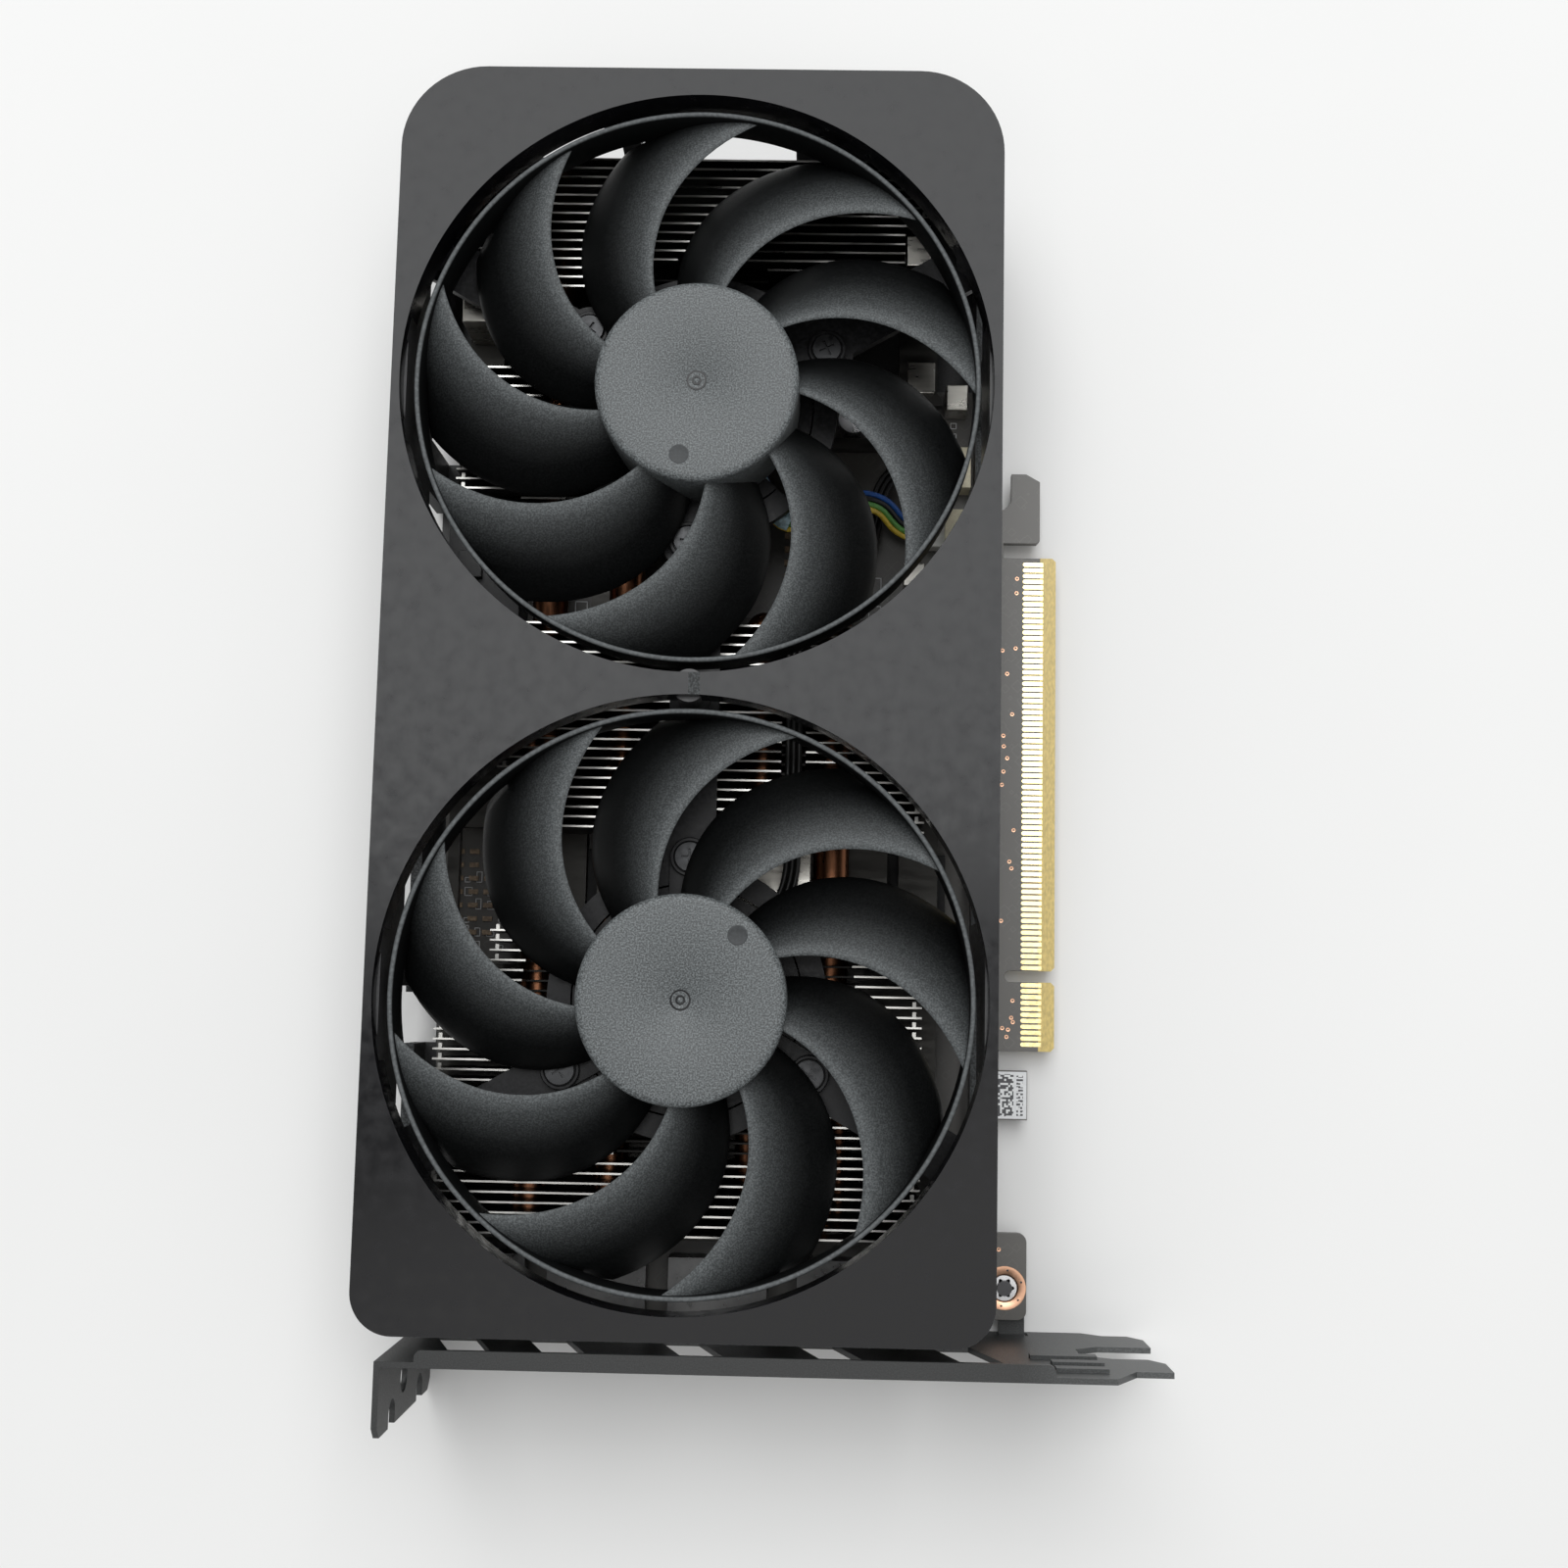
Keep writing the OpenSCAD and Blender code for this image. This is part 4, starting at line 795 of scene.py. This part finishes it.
NEAR_LEAD = [
    (-5, -34, 24.6), (-5, -34, 22.4), (-3.6, -32, 20.9), (0, -27, 20.2), (2.5, -20, 20.2),
    (2.5, -5, 20.2), (2.5, 10, 20.2), (2.5, 20, 20.2), (4.6, 25.4, 18.8), (8.5, 29.4, 15.8),
    (12, 32.8, 12.6), (14.5, 36.6, 9.6), (15.6, 41.5, 8), (16.6, 47, 7.8), (19, 50.4, 8),
    (21.8, 51, 8), (23.2, 51, 8)]
FAR_LEAD = [
    (-6.5, 49.8, 24.6), (-6.5, 49.8, 22.4), (-5, 46, 20.4), (0, 38.8, 19.2), (6, 40, 17.8),
    (12, 43, 16), (16.5, 43, 13), (19.6, 40.8, 9.6), (21.8, 40, 8), (23.2, 40, 8)]
LEADS = {
    "near": (NEAR_LEAD, ("black", "black", "black")),
    "far": (FAR_LEAD, ("blue", "black", "green", "yellow")),
}
STRAND_R = 0.46
SLEEVE_R = 1.75
SLEEVE_SPAN = slice(13, 20)


def smooth_route(points, steps=6):
    """Catmull-Rom curve through the route's points."""
    p = [Vector(q) for q in points]
    out = []
    for i in range(len(p) - 1):
        a, b, c, d = p[max(i - 1, 0)], p[i], p[i + 1], p[min(i + 2, len(p) - 1)]
        for k in range(steps):
            t = k / steps
            out.append(0.5 * (2 * b + t * (c - a) + t * t * (2 * a - 5 * b + 4 * c - d)
                              + t ** 3 * (3 * b - a - 3 * c + d)))
    return out + [p[-1]]


def make_lead(fan):
    """Thin wires side by side along the lead's route, each with its own colour."""
    points, colors = LEADS[fan]
    route = smooth_route(points)
    node = fan + "_fan_lead"
    sides = []
    last = Vector((1, 0, 0))
    for i in range(len(route)):
        tangent = (route[min(i + 1, len(route) - 1)] - route[max(i - 1, 0)]).normalized()
        side = tangent.cross(Vector((0, 0, 1)))
        last = side.normalized() if side.length > 0.25 else last
        sides.append(last.copy())
    for number, color in enumerate(colors):
        offset = (number - (len(colors) - 1) / 2) * 2 * STRAND_R
        strand = [point + offset * side for point, side in zip(route, sides)]
        bm = bmesh.new()
        add_tube(bm, strand, STRAND_R, 10)
        name = "%s_lead_%d_%s" % (fan, number, color)
        piece(name, bm, CARD, [WIRE[color]], [node])
    if fan == "far":
        bm = bmesh.new()
        add_tube(bm, route[SLEEVE_SPAN], SLEEVE_R, 20)
        piece("far_lead_sleeve", bm, CARD, [SLEEVE])


# ---------------------------------------------------------------- fins

FIN_PITCH = 1.6
FIN_X0 = -54.6
FIN_X1 = 23.9


def fin_rows():
    """Place and ends of every fin, block by block."""
    rows = []
    for start, end, x0, x1 in ((-78.9, -36.9, FIN_X0, FIN_X1), (-35.7, -30.8, -46, FIN_X1),
                               (-13.8, 0, -46, FIN_X1), (0.6, 20.2, FIN_X0, FIN_X1),
                               (42.4, 63.5, FIN_X0, -22), (88.7, 99.95, FIN_X0, FIN_X1)):
        y = start
        while y <= end:
            rows.append((y, x0, x1))
            y += FIN_PITCH
    return rows


def make_fin_tabs():
    """Folded tabs that lock neighbouring fins together."""
    bm = bmesh.new()
    top = FIN_TOP
    for y, x0, x1 in fin_rows():
        for x in (x0 + 0.9, x1 - 1.5):
            add_block(bm, x, y + 0.2, top - 0.4, x + 0.6, y + FIN_PITCH - 0.5, top - 0.12, 0.05)
    piece("fin_tabs", bm, CARD, [FIN])


# ---------------------------------------------------------------- board

KEY_Y = -36.3
HALF_KEY = 0.95
SHORT_TAB = 11.65
LONG_TAB = 71.65
TAB_Y0 = KEY_Y - HALF_KEY - SHORT_TAB
TAB_Y1 = KEY_Y + HALF_KEY + LONG_TAB
TAB_CHAMFER = 0.6
CONTACT_X0 = 41.6
CONTACT_X1 = 45.1
CONTACT_START = 1.45
SCREW_HOLE = (39.2, -88.1)
SCREW_HOLE_R = 2.5


def contact_rows():
    """Places of the contacts, 1 mm apart to both sides of the key."""
    first = KEY_Y + CONTACT_START
    other = KEY_Y - CONTACT_START
    return [first + i for i in range(71)] + [other - i for i in range(11)]


def make_contacts():
    """Gold fingers on both faces, each with a rounded root."""
    bm = bmesh.new()
    half = 0.35
    for y in contact_rows():
        for low, high in ((BOARD_Z - 0.02, BOARD_Z + 0.05), (BOARD_LO.z - 0.05, BOARD_LO.z + 0.02)):
            outline = [(CONTACT_X1, y - half), (CONTACT_X1, y + half)] + arc(
                CONTACT_X0 + half, y, half, 90, 270, 6)
            add_prism(bm, outline, low, high)
    piece("gold_fingers", bm, CARD, [GOLD], ["edge_contacts"])


def make_vias():
    """Plated holes by the connector, and the copper ring, dots and star at the bracket screw."""
    random.seed(11)
    bm = bmesh.new()
    spots = []
    for i in range(26):
        spots.append((random.uniform(36.2, 40.6), random.uniform(-50, 33)))
    for i in range(8):
        spots.append((random.uniform(36.4, 40.4), random.uniform(-48, -38)))
    spots += [(38.2, -81.8)]
    for x, y in spots:
        add_lathe(bm, (x, y), [(0.16, BOARD_Z + 0.02), (0.2, BOARD_Z + 0.035),
                               (0.34, BOARD_Z + 0.035), (0.37, BOARD_Z - 0.02)], 16)
    x, y = SCREW_HOLE
    add_lathe(bm, (x, y), [(2.3, BOARD_Z - 0.6), (2.3, BOARD_Z + 0.01), (2.34, BOARD_Z + 0.04),
                           (3.55, BOARD_Z + 0.04), (3.6, BOARD_Z)], 48)
    piece("board_copper", bm, CARD, [PAD_COPPER])

    dots = bmesh.new()
    for k in range(6):
        a = math.radians(20 + 60 * k)
        add_lathe(dots, (x + 2.95 * math.cos(a), y + 2.95 * math.sin(a)), [
            (0, BOARD_Z + 0.06), (0.16, BOARD_Z + 0.06), (0.2, BOARD_Z + 0.03)], 12)
    piece("screw_pad_dots", dots, CARD, [DARK_STEEL])

    star = bmesh.new()
    rows = []
    for radius, z in ((2.2, -0.7), (2.2, -0.25), (2.05, -0.12), (None, -0.12), (None, -0.9)):
        row = []
        for k in range(72):
            a = 2 * math.pi * k / 72
            r = radius or 1.35 + 0.33 * math.cos(6 * a)
            row.append(star.verts.new((x + r * math.cos(a), y + r * math.sin(a), BOARD_Z + z)))
        rows.append(row)
    ring_faces(star, rows)
    ring_faces(star, [rows[-1], rows[0]])
    piece("bracket_screw_star", star, CARD, [STEEL])


def make_silk():
    """Fine white print lines and part outlines, no lettering."""
    random.seed(5)
    bm = bmesh.new()
    z0, z1 = BOARD_Z - 0.01, BOARD_Z + 0.02

    def frame_line(x, y, w, h, t=0.16):
        for box in ((x, y, x + w, y + t), (x, y + h - t, x + w, y + h), (x, y, x + t, y + h),
                    (x + w - t, y, x + w, y + h)):
            add_block(bm, box[0], box[1], z0, box[2], box[3], z1, 0)

    for i in range(6):
        for j in range(5):
            if random.random() < 0.75:
                frame_line(-55.8 + 2.0 * j, -33.6 + 2.3 * i, random.choice((1.0, 1.4)),
                           random.choice((0.9, 1.5, 1.9)), 0.13)
    for i in range(6):
        frame_line(26.6 + 2.1 * (i % 2), 55.5 + 1.9 * (i // 2), 1.1, 1.1, 0.13)
        frame_line(28.5, 20 + 2.3 * i, 1.6, 1.6)
        frame_line(8 + 3.4 * (i % 3), 24 + 5 * (i // 3), 2.2, 3.4)
        frame_line(-43.2 + 3.4 * (i % 3), 24 + 5 * (i // 3), 2.2, 3.4)
    for y in (-44, -12, 14, 22):
        add_block(bm, 36.3, y, z0, 36.45, y + 3.2, z1, 0)
    piece("board_silk", bm, CARD, [PAPER])


def make_board():
    """Board with its tabs: bracket screw, label, edge connector and retention hook."""
    z0, z1 = BOARD_LO.z, BOARD_HI.z
    edge, corner = BOARD_HI.x, BOARD_HI.x - TAB_CHAMFER
    root = 38.2
    inner = 35.5
    outline = [(BOARD_LO.x, BOARD_LO.y), (41.5, BOARD_LO.y)]
    outline += arc(41.35, BOARD_LO.y + 1.5, 1.5, -90, 0, 6)[1:]
    outline += arc(41.35, -80.6, 1.5, 0, 90, 6)
    outline += [(inner, -79.1), (inner, -60.4), (42.83, -60.4), (42.83, -52.15), (inner, -52.15),
                (inner, TAB_Y0)]
    outline += [(root, TAB_Y0), (corner, TAB_Y0), (edge, TAB_Y0 + TAB_CHAMFER),
                (edge, KEY_Y - HALF_KEY - TAB_CHAMFER), (corner, KEY_Y - HALF_KEY)]
    outline += arc(39.8, KEY_Y, HALF_KEY, 270, 90, 8)
    outline += [(corner, KEY_Y + HALF_KEY), (edge, KEY_Y + HALF_KEY + TAB_CHAMFER),
                (edge, TAB_Y1 - TAB_CHAMFER), (corner, TAB_Y1), (root, TAB_Y1), (root, 38.9),
                (44, 38.9), (44.5, 39.4), (44.5, 50), (42.1, 51.35), (39.5, 51.35), (39.5, 46.4),
                (38.8, 45.4), (root, 44.9), (inner, 44.9), (inner, BOARD_HI.y),
                (BOARD_LO.x, BOARD_HI.y)]
    bm = bmesh.new()
    add_prism(bm, outline, z0, z1)
    board = link("circuit_board_panel", to_mesh("circuit_board_panel", bm))
    carve(board, [solid_cylinder(SCREW_HOLE, SCREW_HOLE_R, z0 - 1, z1 + 1, 40)])
    board.data.materials.append(MASK)
    round_edges(board, 0.08, 2)
    finish_piece(board, CARD, [], ["circuit_board"])


def make_bare_edges():
    """Laminate without solder mask, from the ends of the contacts to the board's edge."""
    x0, x1, corner = 44.6, BOARD_HI.x + 0.01, BOARD_HI.x - TAB_CHAMFER
    strips = bmesh.new()
    for y0, y1 in ((TAB_Y0, KEY_Y - HALF_KEY), (KEY_Y + HALF_KEY, TAB_Y1)):
        for z, up in ((BOARD_HI.z, 1), (BOARD_LO.z, -1)):
            face, back = z + up * 0.012, z - up * 0.3
            ends = [(x0, face), (corner, face), (x1, face), (x1, back), (corner, back), (x0, back)]
            low = [strips.verts.new((x, y0 + max(0, x - corner), h)) for x, h in ends]
            high = [strips.verts.new((x, y1 - max(0, x - corner), h)) for x, h in ends]
            ring_faces(strips, [low, high])
            strips.faces.new(low)
            strips.faces.new(high[::-1])
    bmesh.ops.recalc_face_normals(strips, faces=strips.faces)
    piece("connector_bare_edge", strips, CARD, [LAMINATE])


def make_label():
    """White label with a made-up block pattern and a column of bars."""
    x0, x1, y0, y1 = 35.9, 42.7, -60.2, -52.35
    z = BOARD_Z
    bm = bmesh.new()
    add_block(bm, x0, y0, z - 0.02, x1, y1, z + 0.07, 0.02)
    piece("label_sheet", bm, CARD, [PAPER], ["label"])
    code = bmesh.new()
    add_block(code, x0 + 0.4, y0 + 0.4, z + 0.06, x1 - 2.2, y1 - 0.4, z + 0.08, 0)
    for i in range(12):
        bar = y0 + 0.5 + 0.58 * i
        add_block(code, x1 - 1.7, bar, z + 0.06, x1 - 0.6, bar + 0.34, z + 0.08, 0)
    piece("label_pattern", code, CARD, [PRINT])


# ---------------------------------------------------------------- finishes of the CAD nodes

FINISH = {
    "backplate": BACKPLATE, "backplate_screws": DARK_STEEL, "rear_brace": STEEL,
    "spring_washers": STEEL, "cooler_screws": STEEL, "small_board_parts": SMALL_PARTS,
    "processor_substrate": SUBSTRATE, "processor_die": SILICON, "memory_chips": CHIP,
    "power_inductors": CHOKE, "power_stages": CHIP, "capacitors": CAN,
    "power_socket": SOCKET_BLACK, "power_socket_pins": GOLD, "hdmi_socket": PORT_SHELL_PAINTED_SHADE,
    "displayport_sockets": PORT_SHELL_PAINTED_SHADE, "socket_tongues": SOCKET_BLACK, "fan_sockets": CREAM,
    "slot_bracket": BRACKET, "bracket_screw": DARK_STEEL, "cold_plate": DULL_NICKEL,
    "pipe_clamp": NICKEL, "frame_tabs": NICKEL, "cooler_frame": DULL_NICKEL,
    "heat_pipes": PIPE_COPPER_PAINTED_SHADE, "near_fins": FIN, "far_fins": FIN,
    "thermal_pads": PAD, "frame_screws": DARK_STEEL,
}
FAN_FINISH = {
    "fan_frame": FRAME_PLASTIC, "motor_base": FRAME_PLASTIC, "fan_screws": SCREW_STEEL,
    "fan_board": FAN_BOARD, "bearing_sleeve": BRASS, "stator_core": STEEL,
    "windings": WINDING, "rotor_yoke": STEEL, "magnet_ring": MAGNET, "shaft": STEEL,
    "fan_plug": PLUG_WHITE,
}
SOFTENED = {
    "pipe_clamp": 0.2, "frame_tabs": 0.25,
    "backplate": 0.25, "slot_bracket": 0.18, "power_socket": 0.15, "fan_sockets": 0.15,
    "hdmi_socket": 0.1, "displayport_sockets": 0.1, "cooler_frame": 0.2, "power_inductors": 0.3,
    "memory_chips": 0.1, "near_fan_frame": 0.3, "far_fan_frame": 0.3, "near_motor_base": 0.15,
    "far_motor_base": 0.15, "near_fan_plug": 0.2, "far_fan_plug": 0.2,
}


def finish_nodes():
    """Materials and small rounded edges on the CAD nodes that keep their own shape."""
    finishes = dict(FINISH)
    for fan in FAN_CENTRE:
        for part, material in FAN_FINISH.items():
            finishes["%s_%s" % (fan, part)] = material
    for name, material in finishes.items():
        slots = NODES[name].material_slots
        if not slots:
            NODES[name].data.materials.append(material)
        for slot in slots:
            slot.material = material
    for name, width in SOFTENED.items():
        soften_node(name, width)


# ---------------------------------------------------------------- stage

def make_floor():
    """A pale paper floor, in metres."""
    size = 3.0
    steps = 12
    bm = bmesh.new()
    bmesh.ops.create_grid(bm, x_segments=steps, y_segments=steps, size=size)
    mesh = bpy.data.meshes.new("floor")
    bm.to_mesh(mesh)
    bm.free()
    floor = link("floor", mesh)
    color = (0.80, 0.798, 0.79)
    material = principled("floor_paper", color, 0.7, specular=0.2)
    tone = noise(material, 90.0, 2.0)
    paint(material, ramp(material, tone, [(0.3, tint(color, 0.99)), (0.7, tint(color, 1.01))]))
    mesh.materials.append(material)


def area_light(name, place, target, size, power, color):
    """A soft rectangular light in metres, turned to its target."""
    data = bpy.data.lights.new(name, "AREA")
    data.shape = "RECTANGLE"
    data.size, data.size_y = size
    data.energy = power
    data.color = color
    obj = bpy.data.objects.new(name, data)
    bpy.context.scene.collection.objects.link(obj)
    obj.location = place
    direction = Vector(target) - Vector(place)
    obj.rotation_euler = direction.to_track_quat("-Z", "Y").to_euler()


def make_lights():
    world = bpy.data.worlds.new("studio")
    bpy.context.scene.world = world
    world.use_nodes = True
    sky = world.node_tree.nodes["Background"]
    sky.inputs["Color"].default_value = (0.985, 0.993, 1.0, 1)
    sky.inputs["Strength"].default_value = 0.42
    area_light("ceiling", (-0.05, 0.72, 1.4), (0, 0, 0), (1.3, 1.5), 22.0, (0.985, 0.995, 1.0))
    area_light("fill", (0.08, -0.32, 1.1), (0, 0, 0), (1.0, 0.45), 1.6, (1.0, 0.99, 0.97))


def make_camera():
    """A hand-held view from above the near half, tipped slightly towards the far end."""
    data = bpy.data.cameras.new("camera")
    data.sensor_width = 36.0
    data.lens = 43.007
    data.clip_start = 0.01
    data.clip_end = 20.0
    camera = bpy.data.objects.new("camera", data)
    bpy.context.scene.collection.objects.link(camera)
    camera.location = (0.00682, -0.04109, 0.32538)
    camera.rotation_mode = "ZYX"
    camera.rotation_euler = (0.11484, 0.01892, 0.01818)
    bpy.context.scene.camera = camera


# ---------------------------------------------------------------- build

make_shroud()
make_collars()
make_posts()
for fan_name in FAN_CENTRE:
    make_fan(fan_name)
    make_lead(fan_name)
make_fin_tabs()
make_board()
make_bare_edges()
make_contacts()
make_vias()
make_silk()
make_label()
finish_nodes()
make_floor()
make_lights()
make_camera()
bpy.context.scene.view_settings.view_transform = "Standard"
